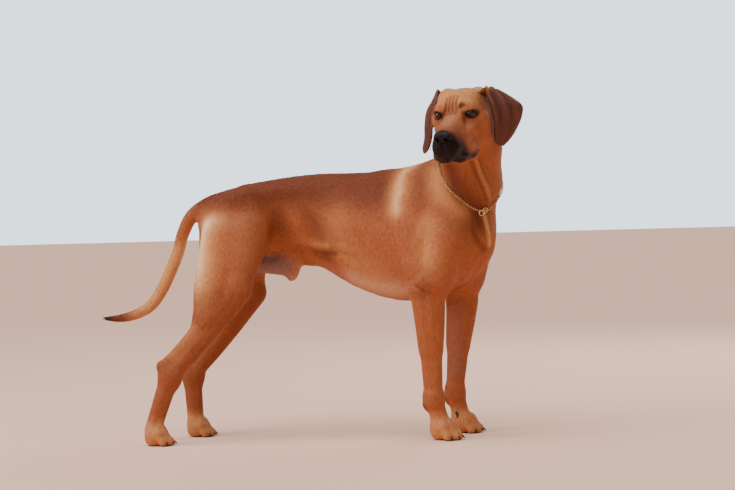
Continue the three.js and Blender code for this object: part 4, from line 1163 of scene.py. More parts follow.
def saddle_and_legs(p, b, m, throat_shade):
    """The body's darker and golden masks: saddle, flanks, breast, thighs, legs and tail, with painted shade
    in hollows, under the head and on the far hind leg, and painted highlights on ridges.
    """
    x, y, z = p.T
    dark_and_shade = .92 * step(.505, .580, b[:, 2]) * step(-.30, -.25, b[:, 0]) * step(.26, .20, b[:, 0])
    dark_and_shade = marked(marked(dark_and_shade, m, DARK_AND_SHADE_BESIDE), p, SHADE_ONCE)
    shade = [
        .30 * step(.27, .17, z) * step(.1, .0, x),                                 # below the hocks
        .50 * step(-.085, -.055, y) * step(.40, .34, z) * step(.1, .0, x),         # the far hind leg
        .40 * step(.40, .34, z) * step(.12, .2, z) * (x < .1),                     # the thighs' lower half
        .95 * step(-.40, -.46, x) * (z < .36),                                     # the tail towards its tip
    ]
    # The band behind the shoulder; on the neck's side lighter hair with a painted highlight; little gold
    # where the throat's shade is painted.
    gold_and_highlight = marked(.92 * near(m, BAND, .022), m, [(.60, NECK_SIDE, .024)]) * (1 - .9 * throat_shade)
    gold_and_highlight = marked(marked(gold_and_highlight, m, GOLD_AND_HIGHLIGHT_BESIDE), p, GOLD_AND_HIGHLIGHT_ONCE)
    bright = [
        # The rear of the thighs: lighter hair with a painted highlight.
        .95 * near(m, HAUNCH_REAR, .034) * step(.575, .52, z) * (.3 + .7 * step(.33, .42, z)),
        .75 * step(.012, .004, tail(p)) * step(.50, .44, z) * step(-.26, -.30, x) * step(-.47, -.40, x),
        .40 * step(.075, .045, z),                                                 # the feet
    ]
    for leg in HIND.values():
        # Painted shade in the hollow ahead of each heel cord, and a painted highlight along the cord.
        hock_hollow_shade = [at(leg["heel"], .006, 0, -.012), at(leg["hock"], -.004, 0, .012)]
        shade.append(.85 * near(p, hock_hollow_shade, .015))
        cord = [between(leg["knee"], leg["heel"], t) for t in (.55, .85)]
        bright.append(.45 * near(p, cord, .017))
    return np.max([dark_and_shade, throat_shade, *shade], axis=0), np.max([gold_and_highlight, *bright], axis=0)


def ear_fold_shading(p, ear_near, liver, black_and_shade):
    """Painted highlights on the crests of the ears' folds, painted shade in their grooves, and painted
    shadow along their front edges.
    """
    across = (1 - np.cos(math.pi * (np.arange(EAR_ACROSS + 1) / EAR_ACROSS))) / 2
    for sheet, _ in ear_meshes:
        rows = sheet.reshape(EAR_ROWS, -1, 3)
        for place, _, depth in [(0, .05, -1), *EAR_FOLDS]:
            column = int(np.argmin(np.abs(across - place)))
            line = rows[:EAR_ROWS * 5 // 8 if place else EAR_ROWS:6, column]
            stripe = near(p, line, .0036) * step(.006, .003, ear_near)
            # A crest gets a painted highlight by thinning the liver, and a groove or the front edge gets
            # painted shade.
            if depth > 0:
                liver = liver * (1 - .22 * stripe)
            else:
                black_and_shade = np.maximum(black_and_shade, (.36 if place else .50) * stripe)
    return liver, black_and_shade


def marks_and_painted_light(p, ear_near):
    """Six masks of the coat's colours, in order: darker red hair, golden hair, the blackest hair and skin,
    liver, pale hair and hairless skin. The first, third and sixth also carry painted shade, the second and
    fifth carry painted highlights, and the fourth is thinned where highlights are painted on the ears'
    crests.
    """
    b, q = unbend(p), to_head(p)
    m, n = mirrored(b), mirrored(q)
    fore, height = q[:, 0], q[:, 2]
    on_head = step(175, 140, np.linalg.norm(q + (20, 0, 20), axis=1))
    # Painted shade under the head, down the front of the neck.
    throat_shade = near(p, THROAT_SHADE, .030) * step(.670, .640, p[:, 2])
    # Painted shade in the flank's fold and in the armpit.
    flank_fold_shade, armpit_shade = near(m, FLANK_FOLD_SHADE, .010), near(p, ARMPIT_SHADE, .017)
    # Painted shade in the forehead's furrows, taken up by the darker and black masks and kept out of the
    # gold.
    furrow = np.max([near(q, line, 3.0) for line, *_ in FURROW_FOLDS], axis=0) * on_head
    smoky = near(q, [(96, 14, -36), (70, 22, -48)], 16) * on_head
    gaze, out, up = eye_frame(n)
    rim = np.exp(-(np.maximum(np.hypot(out / 1.9, up - .5) - 7, 0) / 3.6) ** 2) * step(-10, -2, gaze)
    wrists = [near(p, [at(leg["wrist"], -.024, 0, -.02), at(leg["wrist"], -.024, 0, -.026)], .009)
              for leg in FORE.values()]

    dark_and_shade, gold_and_highlight = saddle_and_legs(p, b, m, throat_shade)
    # Painted highlight on the top of the skull.
    gold_and_highlight = np.maximum(gold_and_highlight, .62 * step(0, 36, height) * on_head * step(16, -10, fore)) * (1 - .95 * furrow)
    # Painted highlight on the crest of the curl over the left eye.
    gold_and_highlight = marked(gold_and_highlight, q, [(.85, CURL_FOLD[0], 2.0)])
    dark_and_shade = np.max([
        dark_and_shade, flank_fold_shade, armpit_shade, furrow,
        np.clip(smoky + .40 * step(30, 70, fore) * on_head, 0, 1),                 # the muzzle
        .40 * near(n, [(4, 36, -20), (-6, 44, -30)], 9) * on_head,                 # painted shade in the furrow below the eyes
        .85 * near(q, [(-36, 46, 34), (-40, 52, 8)], 10),                          # painted shade in the crevice before the left ear
    ], axis=0)
    black_and_shade = np.max([
        # Painted shade in the forehead's furrows, the flank's fold and the armpit.
        .60 * furrow, .30 * flank_fold_shade, .34 * armpit_shade,
        step(54, 108, fore - .8 * (height + 32)) * step(-96, -84, height) * (np.abs(q[:, 1]) < 40),
        near(n, MASK_SIDE, 9.5) * on_head,
        .86 * rim,
        .62 * near(n, EYE_CORNER, 5.5) * on_head,
        # Painted shade in the hollow under the curl over the left eye.
        .90 * near(q, HOLLOW_FOLD[0], 6.0),
        .9 * step(-.460, -.510, p[:, 0]) * (p[:, 2] < .40),                        # the tail's tip
        .8 * step(.0035, .0015, p[:, 2]),                                          # the soles
        .62 * near(q, NOSE_TOP, 8),
        *(.9 * wrist for wrist in wrists),
    ], axis=0)
    # The rear of the thighs again: lighter hair with a painted highlight.
    cream_and_highlight = .90 * near(m, HAUNCH_REAR + (-.014, -.004, 0), .018) * step(.33, .44, p[:, 2])
    cream_and_highlight = marked(marked(cream_and_highlight, m, CREAM_BESIDE), b, [(.55, [(-.044, 0, .388), (-.036, 0, .405)], .014)])
    # Painted highlight along the bridge of the nose.
    cream_and_highlight = np.maximum(cream_and_highlight, .12 * near(q, [(26, 0, -2), (64, 0, -6)], 13) * on_head)
    groin = .95 * near(b, [(-.128, 0, .424), (-.074, 0, .408)], .036) * step(.448, .436, p[:, 2])
    # Painted shade, in the grey of hairless skin, on the far foreleg's inner side.
    bare_and_shade = np.maximum(.30 * near(p, [(.345, -.100, .310), (.335, -.090, .150)], .020), groin)
    liver = step(.0034, .0012, ear_near)
    liver = liver * (1 - .85 * near(q, [(-48, 48, 38), (-54, 60, 40)], 9))
    liver = liver * (1 - .9 * near(q, [(-40, 47, 32), (-42, 53, 8)], 9))
    liver, black_and_shade = ear_fold_shading(p, ear_near, liver, black_and_shade)
    return [np.clip(x, 0, 1) for x in (dark_and_shade, gold_and_highlight, black_and_shade, liver, cream_and_highlight, bare_and_shade)]


def keep(mesh, name, *channels):
    """Keeps up to three numbers at each point as a colour attribute."""
    layer = mesh.color_attributes.new(name, "FLOAT_COLOR", "POINT")
    values = np.ones((len(mesh.vertices), 4), np.float32)
    for k, channel in enumerate(channels):
        values[:, k] = channel
    layer.data.foreach_set("color", values.ravel())


skin_points = points.astype(np.float32)
ear_gap = from_ears(skin_points)
masks = marks_and_painted_light(skin_points, ear_gap)
keep(skin.data, "marks_a", *masks[:3])
keep(skin.data, "marks_b", *masks[3:])


def colour(text):
    """A web colour as the light it gives back."""
    parts = [int(text[i:i + 2], 16) / 255 for i in (1, 3, 5)]
    return tuple(v / 12.92 if v <= .04045 else ((v + .055) / 1.055) ** 2.4 for v in parts)


# The coat's colours. The darker red, the blackest colour and the grey of hairless skin also paint shade, and
# the golden and pale colours also paint highlights.
RED, DARK_AND_SHADE, GOLD_AND_HIGHLIGHT = colour("#a65c36"), colour("#6f341d"), colour("#e09c5f")
CREAM_AND_HIGHLIGHT, LIVER, BLACK_AND_SHADE, BARE_AND_SHADE = colour("#fcd6aa"), colour("#623b31"), colour("#190d0b"), colour("#82706a")


def fur_finish(name, tufted):
    """Short wheaten hair: the coat's colours mixed from masks that also carry painted shade and painted
    highlights, fine flecks, and the nap of the hair as a bump.
    """
    fur = Finish(name)
    dark_and_shade, gold_and_highlight, black_and_shade = fur.parts("marks_a")
    liver, cream_and_highlight, bare_and_shade = fur.parts("marks_b")
    flecks = fur.noise(210, 4, .65, fur.stretched((1, 1, .45)))
    cloud = fur.noise(16, 3, .5)
    wave = (cloud - .5) * .5
    tone = fur.mix((dark_and_shade + wave * .5).clamped(), RED, DARK_AND_SHADE)
    tone = fur.mix((gold_and_highlight + wave * gold_and_highlight).clamped(), tone, GOLD_AND_HIGHLIGHT)
    tone = fur.mix(cream_and_highlight, tone, CREAM_AND_HIGHLIGHT)
    tone = fur.mix(liver, tone, LIVER)
    tone = fur.mix(bare_and_shade, tone, BARE_AND_SHADE)
    ragged = (fur.noise(120, 3, .6) - .5) * .4
    unsure = 1 - (black_and_shade - .5) * (black_and_shade - .5) * 4
    tone = fur.mix(((black_and_shade - .5) * 1.25 + .5 + ragged * unsure).clamped(), tone, BLACK_AND_SHADE)
    light = 1 + (flecks - .5) * .8
    if tufted:
        shade = fur.node("ShaderNodeAttribute", "Fac", {"attribute_name": "shade"})
        light = light * (.92 + .16 * shade)
    tone = fur.brightened(tone, light)
    nap = fur.noise(700, 2, .6, fur.stretched((.35, 1, .35)))
    bumps = fur.bump(nap + flecks * .8, .0009, .55)
    return fur.set(Base_Color=tone, Roughness=.56 - .16 * black_and_shade + (flecks - .5) * .2, Normal=bumps,
                   Specular_IOR_Level=.13, Sheen_Weight=.03, Sheen_Roughness=.4)


skin.data.materials.append(fur_finish("coat_on_skin", False))
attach(skin, "root")
SIDES = ("right", "left")
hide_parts("chest", "loin", "rump", "sheath", "neck", "head", "tail_root", "tail_middle", "tail_tip",
            *(f"ear_{s}" for s in SIDES),
            *(f"{part}_{s}" for s in SIDES for part in ("thigh", "shank", "hock", "paw_hind",
                                                        "forearm", "wrist", "paw_fore")))


# ---------------------------------------------------------------- coat
# Short glossy hair that lies flat, from the nose back and down the legs. On the back a ridge of
# hair grows forwards from two whorls. Each tuft is a closed blade of hairs, thin and bent over.
CORES = {    # the way that the hair lies, along the middle of each part
    "trunk": [bend(x, 0, z) for x, z in ((.32, .53), (.16, .51), (.02, .52), (-.10, .52), (-.24, .50))],
    "neck": [from_head((-60, 0, -20)), *(row[:3] for row in NECK[2::-1]), bend(.33, 0, .46)],
    "head": [from_head(q) for q in ((118, 0, -42), (40, 0, -40), (-40, 0, -28), (-120, 0, -40))],
    "tail": [row[:3] for row in TAIL],
}
for side, rows in EARS.items():
    CORES[f"ear_{side}"] = [from_head(((front[0] + back[0]) / 2, side * (front[1] + back[1]) / 2,
                                       (front[2] + back[2]) / 2)) for front, back, _ in rows]
TOE_ENDS = (.045, 0, .008)
for side, leg in HIND.items():
    CORES["hind_" + side] = [leg["hip"], leg["knee"], leg["hock"], leg["knuckle"],
                             foot_frame(leg)[0](*TOE_ENDS)]
for side, leg in FORE.items():
    CORES["fore_" + side] = [at(leg["elbow"], .04, 0, .12), leg["elbow"], leg["wrist"], leg["knuckle"],
                             foot_frame(leg)[0](*TOE_ENDS)]


def part_of(p, ear_near):
    """Which part's hair each point carries, as a number in the list of cores."""
    ears = np.where(ear_near < .003, -1.0, 1.0)
    left = to_head(p)[:, 1] > 0
    forms = {"trunk": trunk(p), "neck": neck(p), "head": head(p), "tail": tail(p),
             "ear_1": np.where(left, ears, 1), "ear_-1": np.where(left, 1, ears)}
    for kind, legs, leg_form in (("hind_", HIND, hind_leg), ("fore_", FORE, fore_leg)):
        for side, leg in legs.items():
            forms[kind + side] = np.minimum(leg_form(p, leg), paw(p, leg)) - .002
    return np.argmin(np.stack([forms[name] for name in CORES]), 0)


def along_core(p, core):
    """For each point: the share of the core's length beside it, the angle round it, its way, and the gap."""
    core = np.array(core, float)
    best = np.full(len(p), np.inf)
    share, angle, way = np.zeros(len(p)), np.zeros(len(p)), np.zeros((len(p), 3))
    lengths = np.linalg.norm(np.diff(core, axis=0), axis=1)
    before = np.concatenate([[0], np.cumsum(lengths)])
    for i, (a, b) in enumerate(zip(core[:-1], core[1:])):
        d = (b - a) / lengths[i]
        t = np.clip((p - a) @ d, 0, lengths[i])
        off = p - a - t[:, None] * d
        gap = np.linalg.norm(off, axis=1)
        side = np.cross(d, (0, 1, .2) if abs(d[1]) < .8 else (0, 0, 1))
        side /= np.linalg.norm(side)
        closer = gap < best
        best[closer] = gap[closer]
        share[closer] = (before[i] + t[closer]) / before[-1]
        angle[closer] = np.arctan2(off[closer] @ np.cross(d, side), off[closer] @ side) / (2 * math.pi) + .5
        way[closer] = d
    return share, angle, way, best


RIDGE = (-.15, .245)                                # where the ridge ends behind, and in front
WHORLS, WHORL_WIDE = [(.238, .019), (.238, -.019)], .016
DROOP = .30


def hair_lie(p):
    """The way the hair lies, run together from the cores near each point, and drooping a little."""
    total = np.zeros((len(p), 3))
    for core in CORES.values():
        way, gap = along_core(p, core)[2:]
        total += way / (gap[:, None] ** 3 + 1e-7)
    total /= np.linalg.norm(total, axis=1)[:, None]
    total[:, 2] -= DROOP
    b = unbend(p)
    x, y = b[:, 0], b[:, 1]
    t = np.clip((x - RIDGE[0]) / (RIDGE[1] - RIDGE[0]), 0, 1)
    wide = .006 + .022 * t ** .7
    on_back = p[:, 2] > .57
    on_top = on_back & (x > RIDGE[0]) & (x < RIDGE[1] + .012) & (np.abs(y) < wide + .008)
    turn = SPINE_TURN[0] + SPINE_CURVE * (np.clip(x, SPINE_FROM, SPINE_TO) - SPINE_FROM)
    ahead = np.stack([np.cos(turn), -np.sin(turn), turn * 0], 1)
    aside = np.stack([np.sin(turn), np.cos(turn), turn * 0], 1)
    amount = (step(wide + .006, wide - .002, np.abs(y)) * on_top)[:, None]
    total = total * (1 - amount) + ahead * amount
    for whorl_x, whorl_y in WHORLS:
        dx, dy = x - whorl_x, y - whorl_y
        swirl = (np.exp(-(np.hypot(dx, dy) / WHORL_WIDE) ** 2) * on_back)[:, None]
        whirl = (ahead * (-dy)[:, None] + aside * dx[:, None]) * math.copysign(1, whorl_y)
        total = total * (1 - swirl) + whirl / (np.hypot(dx, dy)[:, None] + 1e-4) * swirl
    return total / (np.linalg.norm(total, axis=1)[:, None] + 1e-9)


GROWTH = {    # how thick the tufts stand on each part, to the square metre, and how long they are
    "trunk": (43500, .0088), "neck": (60000, .0078), "head": (105000, .0046), "tail": (80000, .0090),
    "ear_1": (90000, .0042), "ear_-1": (90000, .0042),
    "hind_right": (70000, .0078), "hind_left": (70000, .0078),
    "fore_right": (85000, .0068), "fore_left": (85000, .0068),
}
NOSE_AT = (98, 0, -22)
whose = part_of(skin_points, ear_gap)
face = to_head(skin_points)
on_foot = step(.075, .045, skin_points[:, 2])
on_muzzle = step(10, 60, face[:, 0]) * step(150, 120, np.linalg.norm(face, axis=1))
gaze, out, up = eye_frame(mirrored(face))
at_eye = (np.hypot(out / 1.3, up) < 11) & (gaze > 0)
at_nose = egg(face, NOSE_AT, (13, 20.5, 14.5)) < 2.0
bare_skin = (masks[5] > .5) | at_eye | at_nose | (skin_points[:, 2] < .004)


def give(mesh, name, kind, values):
    layer = mesh.attributes.new(name, kind, "POINT")
    place = "vector" if kind == "FLOAT_VECTOR" else "value"
    layer.data.foreach_set(place, np.asarray(values, np.float32).ravel())


def tuft_shape():
    """One blade, a unit long: a three-sided horn, sunk at its root and bent down to lie flat."""
    rows = [(-.08, -.030, .034, .010), (.45, .014, .034, .008)]
    points = []
    for x, z, wide, thick in rows:
        points += [(x, -wide, z), (x, wide, z), (x, 0, z + thick)]
    points.append((1, 0, .026))
    faces = [(0, 1, 2)] + [(i, (i + 1) % 3, 3 + (i + 1) % 3, 3 + i) for i in range(3)]
    faces += [(3 + i, 3 + (i + 1) % 3, 6) for i in range(3)]
    return solid("tuft", points, faces)


def geometry_tree(name, **numbers):
    """An empty tree of geometry nodes with a mesh in and out, and a function that adds a node to it."""
    tree = bpy.data.node_groups.new(name, "GeometryNodeTree")
    tree.interface.new_socket("Geometry", in_out="INPUT", socket_type="NodeSocketGeometry")
    for number, kind in numbers.items():
        tree.interface.new_socket(number, in_out="INPUT", socket_type="NodeSocket" + kind)
    tree.interface.new_socket("Geometry", in_out="OUTPUT", socket_type="NodeSocketGeometry")

    def node(kind, settings=(), **sockets):
        """Adds a node: its settings, then its sockets by name, or by number after an i."""
        made = tree.nodes.new(kind)
        for key, value in dict(settings).items():
            setattr(made, key, value)
        for key, term in sockets.items():
            numbered = key[0] == "i" and key[1:].isdigit()
            place = made.inputs[int(key[1:])] if numbered else made.inputs[key.replace("_", " ")]
            if isinstance(term, bpy.types.NodeSocket):
                tree.links.new(term, place)
            else:
                place.default_value = term
        return made

    return tree, node


def finished(node, instances, finish):
    """Makes a tree's instances real, gives them their finish, and sends them out."""
    real = node("GeometryNodeRealizeInstances", Geometry=instances)
    clad = node("GeometryNodeSetMaterial", Geometry=real.outputs[0], Material=finish)
    node("NodeGroupOutput", Geometry=clad.outputs[0])


def grown(thing, tree, **numbers):
    """The mesh that a tree makes of an object, with the tree's numbers set by their identifiers."""
    growth = thing.modifiers.new(tree.name, "NODES")
    growth.node_group = tree
    for socket in tree.interface.items_tree:
        if socket.in_out == "INPUT" and socket.name in numbers:
            growth[socket.identifier] = numbers[socket.name]
    thing.update_tag()
    mesh = evaluated(thing)
    thing.modifiers.clear()
    return mesh


def coat_tree(tuft, finish):
    """Geometry nodes that stand tufts all over a mesh, along its lie, and make them real."""
    tree, node = geometry_tree("coat", Seed="Int")

    def named(name, kind):
        return node("GeometryNodeInputNamedAttribute", {"data_type": kind}, Name=name).outputs["Attribute"]

    def random(kind, seed, low, high):
        made = node("FunctionNodeRandomValue", {"data_type": kind}, Min=low, Max=high, Seed=seed)
        return made.outputs[0 if kind == "FLOAT_VECTOR" else 1]

    def stored(mesh, name, kind, value):
        settings = {"data_type": kind, "domain": "POINT"}
        made = node("GeometryNodeStoreNamedAttribute", settings, Geometry=mesh, Name=name, Value=value)
        return made.outputs[0]

    given = node("NodeGroupInput").outputs
    strewn = node("GeometryNodeDistributePointsOnFaces", Mesh=given["Geometry"],
                  Density=named("growth", "FLOAT"), Seed=given["Seed"])
    rooted = stored(strewn.outputs["Points"], "root", "FLOAT_VECTOR",
                    node("GeometryNodeInputPosition").outputs[0])
    shaded = stored(rooted, "shade", "FLOAT", random("FLOAT", 11, 0.0, 1.0))
    stray = random("FLOAT_VECTOR", 12, (-.07, -.07, -.07), (.07, .07, .07))
    way = node("ShaderNodeVectorMath", {"operation": "ADD"}, i0=named("lie", "FLOAT_VECTOR"), i1=stray)
    turned = node("FunctionNodeAxesToRotation", {"primary_axis": "Z", "secondary_axis": "X"},
                  Primary_Axis=strewn.outputs["Normal"], Secondary_Axis=way.outputs[0])
    long = node("ShaderNodeMath", {"operation": "MULTIPLY"}, i0=named("reach", "FLOAT"),
                i1=random("FLOAT", 13, .72, 1.25))
    one = node("GeometryNodeObjectInfo", Object=tuft).outputs["Geometry"]
    set_out = node("GeometryNodeInstanceOnPoints", Points=shaded, Instance=one,
                   Rotation=turned.outputs[0], Scale=long.outputs[0])
    finished(node, set_out.outputs[0], finish)
    return tree


growing = placed("growing", skin.data.copy())
reach = np.zeros(len(skin_points))
for number, name in enumerate(CORES):
    reach[whose == number] = GROWTH[name][1]
reach *= (1 - .45 * on_foot) * (1 - .35 * on_muzzle)
give(growing.data, "lie", "FLOAT_VECTOR", hair_lie(skin_points))
give(growing.data, "reach", "FLOAT", reach)
give(growing.data, "growth", "FLOAT", np.zeros(len(skin_points)))
tuft = tuft_shape()
tree = coat_tree(tuft, fur_finish("coat_hair", True))

FIRST_SEED = 40
PATCH = .0028                       # each blade's own small square on the hide's unrolled sheet
LEAF = np.array([(-.5, -.5), (.5, -.5), (0, -.35), (-.4, .1), (.4, .1), (0, .2), (0, .5)]) * PATCH
MARGIN = .004


def unrolled(mesh, core):
    """Lays each blade on a small patch, where its root is on the hide unrolled round its core."""
    roots = np.empty(len(mesh.vertices) * 3, np.float32)
    mesh.attributes["root"].data.foreach_get("vector", roots)
    roots = roots.reshape(-1, len(LEAF), 3)[:, 0] - STAND
    share, angle = along_core(roots, core)[:2]
    base = np.stack([MARGIN + angle * (1 - 2 * MARGIN), MARGIN + share * (1 - 2 * MARGIN)], 1)
    spread = (base[:, None] + LEAF[None]).reshape(-1, 2)
    corner = np.empty(len(mesh.loops), np.int32)
    mesh.loops.foreach_get("vertex_index", corner)
    sheet = mesh.uv_layers.new(name="OFBake")
    sheet.uv.foreach_set("vector", spread[corner].astype(np.float32).ravel())


for number, (name, core) in enumerate(CORES.items()):
    density = (whose == number) * ~bare_skin * (GROWTH[name][0] * (1 + .5 * on_foot))
    growing.data.attributes["growth"].data.foreach_set("value", density.astype(np.float32))
    growing.data.update()
    mesh = grown(growing, tree, Seed=FIRST_SEED + number)
    unrolled(mesh, core)
    for attribute in ("lie", "reach", "growth", "root"):
        mesh.attributes.remove(mesh.attributes[attribute])
    mesh.name = "coat_" + name.replace("ear_-1", "ear_right").replace("ear_1", "ear_left")
    hair = placed(mesh.name, mesh)
    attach(hair, "root")
bpy.data.objects.remove(growing)
bpy.data.objects.remove(tuft)


# ---------------------------------------------------------------- nose
# A moist black pad of pebbled skin with two comma-shaped nostrils, set in the end of the muzzle.
NOSE_RADII = (12.6, 19.6, 14.2)


def nose_pad(q):
    m = mirrored(q)
    d = egg(q, NOSE_AT, NOSE_RADII)
    d = blend(d, egg(m, (104, 10.5, -22), (7.5, 8.5, 9.5)), 5)
    d = hollow(d, -rod(m, (114, 9.4, -24.0), (104, 9.8, -25.0), 5.4, 4.4), 2.0)
    return hollow(d, -rod(m, (110, 11.5, -27.5), (99, 21, -28.5), 2.0, 2.2), 1.6)


CLEFT = [fold(nose_pad, [(112, 0, -18), (112, 0, -27), (108, 0, -38)], 1.3, 1.5)]


def nose_form(q):
    return nose_pad(q) + carved(q, CLEFT)


knots, squares = net_over(nose_form, (80, -26, -42), (118, 26, -2), 1.0)
knots = settle(nose_form, evened(knots, face_edges(squares), np.full(len(knots), .4), 3), 2, .6)
nose = solid("nose_pad", from_head(knots) + STAND, squares)
leather = Finish("nose_leather")
pebbles = leather.node("ShaderNodeTexVoronoi", "Distance", {"feature": "DISTANCE_TO_EDGE"},
                       Vector=leather.place(), Scale=720.0)
worn = leather.noise(60, 3)
leather.set(Base_Color=leather.mix(worn, colour("#050505"), colour("#0e0c0d")), Roughness=.34 + worn * .2,
            Normal=leather.bump((pebbles * 6).clamped(), .0004, .7), Coat_Weight=.12, Coat_Roughness=.16,
            Specular_IOR_Level=.18)
nose.data.materials.append(leather.material)
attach(nose, "root")
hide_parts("nose")


# ---------------------------------------------------------------- eyes
# Dark brown glass eyes with round pupils and a domed cornea, set deep behind the lids.
EYE_ROWS, EYE_TURNS = 40, 56
GAZE = math.radians(17)
CORNEA_RISE, CORNEA_WIDE = .75, .42      # millimetres, and radians from the eye's axis
PUPIL, IRIS, WHITE = .20, .62, .92       # where each ring begins or ends, in radians


def eyeball(side):
    away = np.array((math.cos(GAZE), side * math.sin(GAZE), .02))
    away /= np.linalg.norm(away)
    u = np.cross(away, (0, 0, 1))
    u /= np.linalg.norm(u)
    v = np.cross(u, away)
    points = []
    for i in range(EYE_ROWS + 1):
        a = math.pi * (i / EYE_ROWS) ** 1.35
        r = EYE_RADIUS + CORNEA_RISE * math.exp(-(a / CORNEA_WIDE) ** 2)
        for j in range(EYE_TURNS):
            t = 2 * math.pi * j / EYE_TURNS
            points.append(r * (away * math.cos(a) + (u * math.cos(t) + v * math.sin(t)) * math.sin(a)))
    centre = np.array((EYE_AT[0], side * EYE_AT[1], EYE_AT[2]))
    made = solid("eyeball_" + ("left" if side > 0 else "right"),
                 from_head(np.array(points) + centre) + STAND, ring_faces(EYE_ROWS + 1, EYE_TURNS))
    q = to_head((points_of(made.data) - STAND).astype(np.float32)) - centre
    keep(made.data, "iris", np.arccos(np.clip(q @ away / np.linalg.norm(q, axis=1), -1, 1)))
    return made


glass = Finish("eye_glass")
off = glass.parts("iris")[0]
rays = glass.noise(400, 3, .7)
iris = glass.mix(((off - PUPIL) * 3 + (rays - .5) * .8).clamped(), colour("#4a2812"), colour("#20100a"))
iris = glass.mix(((off - PUPIL) * 40).clamped(), colour("#030202"), iris)
iris = glass.mix(((off - IRIS) * 10).clamped(), iris, colour("#0a0505"))
glass.set(Base_Color=glass.mix(((off - WHITE) * 6).clamped(), iris, colour("#3a2a22")), Roughness=.06,
          Specular_IOR_Level=.4)
for side, name in ((-1, "right"), (1, "left")):
    eye = eyeball(side)
    eye.data.materials.append(glass.material)
    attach(eye, "root")
    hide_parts("eye_" + name)


# ---------------------------------------------------------------- claws
# Dark horn, curved down and blunted by wear, four to a foot and a dewclaw inside each foreleg.
CLAW_LONG, CLAW_THICK, CLAW_ARCH, CLAW_RINGS, CLAW_SIDES = .014, .0044, .0024, 9, 10
DEWCLAW_SIZE = .8


def horn(root, tip, size):
    way = (tip - root) / np.linalg.norm(tip - root)
    across = np.cross(way, (0, 0, 1))
    across /= np.linalg.norm(across)
    rise = np.cross(across, way)
    points = []
    for i in range(CLAW_RINGS):
        t = i / (CLAW_RINGS - 1)
        r = CLAW_THICK * size * (1 - .78 * t ** 1.7)
        middle = root + (tip - root) * t + np.array((0, 0, 1)) * CLAW_ARCH * math.sin(math.pi * t)
        points += [middle + across * .72 * r * math.cos(a) + rise * r * math.sin(a)
                   for a in np.linspace(0, 2 * math.pi, CLAW_SIDES, endpoint=False)]
    last = (CLAW_RINGS - 1) * CLAW_SIDES
    ends = [tuple(range(CLAW_SIDES)), tuple(range(last, last + CLAW_SIDES))]
    return points, ring_faces(CLAW_RINGS, CLAW_SIDES) + ends


horny = Finish("claw_horn")
grain = horny.noise(300, 3, .6, horny.stretched((1, 1, 3)))
horny.set(Base_Color=horny.mix(grain, colour("#15100e"), colour("#3a2c25")), Roughness=.34 + grain * .15,
          Normal=horny.bump(grain, .0002, .6))
for kind, legs in (("hind", HIND), ("fore", FORE)):
    for side, leg in legs.items():
        spot = foot_frame(leg)[0]
        points, faces = [], []
        horns = [(spot(reach - .004, out * .98, .0135),
                  spot(reach + .002 + CLAW_LONG, out * 1.05, .0045), leg["size"]) for out, reach in TOES]
        if kind == "fore":
            inward = -.019 * leg["out"]
            horns.append((at(leg["wrist"], .000, inward, -.048),
                          at(leg["wrist"], .004, inward * 1.12, -.066), DEWCLAW_SIZE))
        for root, tip, size in horns:
            more, rings = horn(root, tip, size)
            faces += [tuple(len(points) + i for i in f) for f in rings]
            points += more
        claws = solid(f"claws_{kind}_{side}", np.array(points) + STAND, faces)
        claws.data.materials.append(horny.material)
        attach(claws, "root")
        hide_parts(*(f"claw_{kind}_{side}_{i}" for i in (1, 2, 3, 4)))


# ---------------------------------------------------------------- chain collar
# A fine gilt choke chain of oval links round the base of the neck, with a ring at each end that
# draws it down in front.
CHAIN_AT, CHAIN_FRONT = (.365, -.185, .600), (.536, -.728, -.426)
CHAIN_WAY = np.array((.30, -.30, .90)) / np.linalg.norm((.30, -.30, .90))
CHAIN_LIFT, LINK_PITCH, LINK_HALF, LINK_WIRE = .0016, .0052, (.0036, .0021), .00072
RING_RADIUS, RING_WIRE = .0072, .0013
RING_PLACES = [(3.5, .003, .006), (-4, .002, .0095)]    # degrees round, how far up, how far off the coat


def chest_form(p):
    d = trunk(p)
    for leg in FORE.values():
        d = blend(d, fore_leg(p, leg), .022)
    return blend(d, blend(neck(p), head(p), .030), .035)


def chain_point(degrees, drop, clear):
    """A place on the collar: how far round from the front, how far up, and how far off the coat."""
    a = math.radians(degrees)
    rise = .025 - .038 * math.cos(a) + .014 * math.sin(a) - .0195 * math.exp(-(degrees / 35) ** 2)
    front = np.array(CHAIN_FRONT) - CHAIN_WAY * (np.array(CHAIN_FRONT) @ CHAIN_WAY)
    front /= np.linalg.norm(front)
    out = front * math.cos(a) + np.cross(CHAIN_WAY, front) * math.sin(a)
    start = np.array(CHAIN_AT) + CHAIN_WAY * (rise + drop)
    steps = np.linspace(0, .16, 321)
    depth = chest_form((start + steps[:, None] * out).astype(np.float32))
    leaves = int(np.argmax(depth > 0))
    share = depth[leaves - 1] / (depth[leaves - 1] - depth[leaves])
    return start + out * (steps[leaves - 1] + share * (steps[1] - steps[0]) + clear), out


def tube_ring(path, wire, sides, name):
    """A closed wire along a closed path."""
    path = np.array(path, float)
    way = np.roll(path, -1, 0) - np.roll(path, 1, 0)
    way /= np.linalg.norm(way, axis=1)[:, None]
    middle = path.mean(0)
    normal = np.cross(path[0] - middle, path[len(path) // 4] - middle)
    normal /= np.linalg.norm(normal)
    side = np.cross(way, normal)
    points = [path[i] + wire * (side[i] * math.cos(t) + normal * math.sin(t))
              for i in range(len(path)) for t in np.linspace(0, 2 * math.pi, sides, endpoint=False)]
    return solid(name, points, ring_faces(len(path), sides, closed=True))


def oval(long, wide, steps):
    turns = np.linspace(0, 2 * math.pi, steps, endpoint=False)
    return [(long * math.cos(t), wide * math.sin(t), 0) for t in turns]


gilt = Finish("gilt_steel")
rubbed = gilt.noise(90, 3)
gilt.set(Base_Color=gilt.mix(rubbed, colour("#b98a4a"), colour("#ecd3a0")), Roughness=.20 + rubbed * .15,
         Normal=gilt.bump(rubbed, .0002, .4), Metallic=1.0)

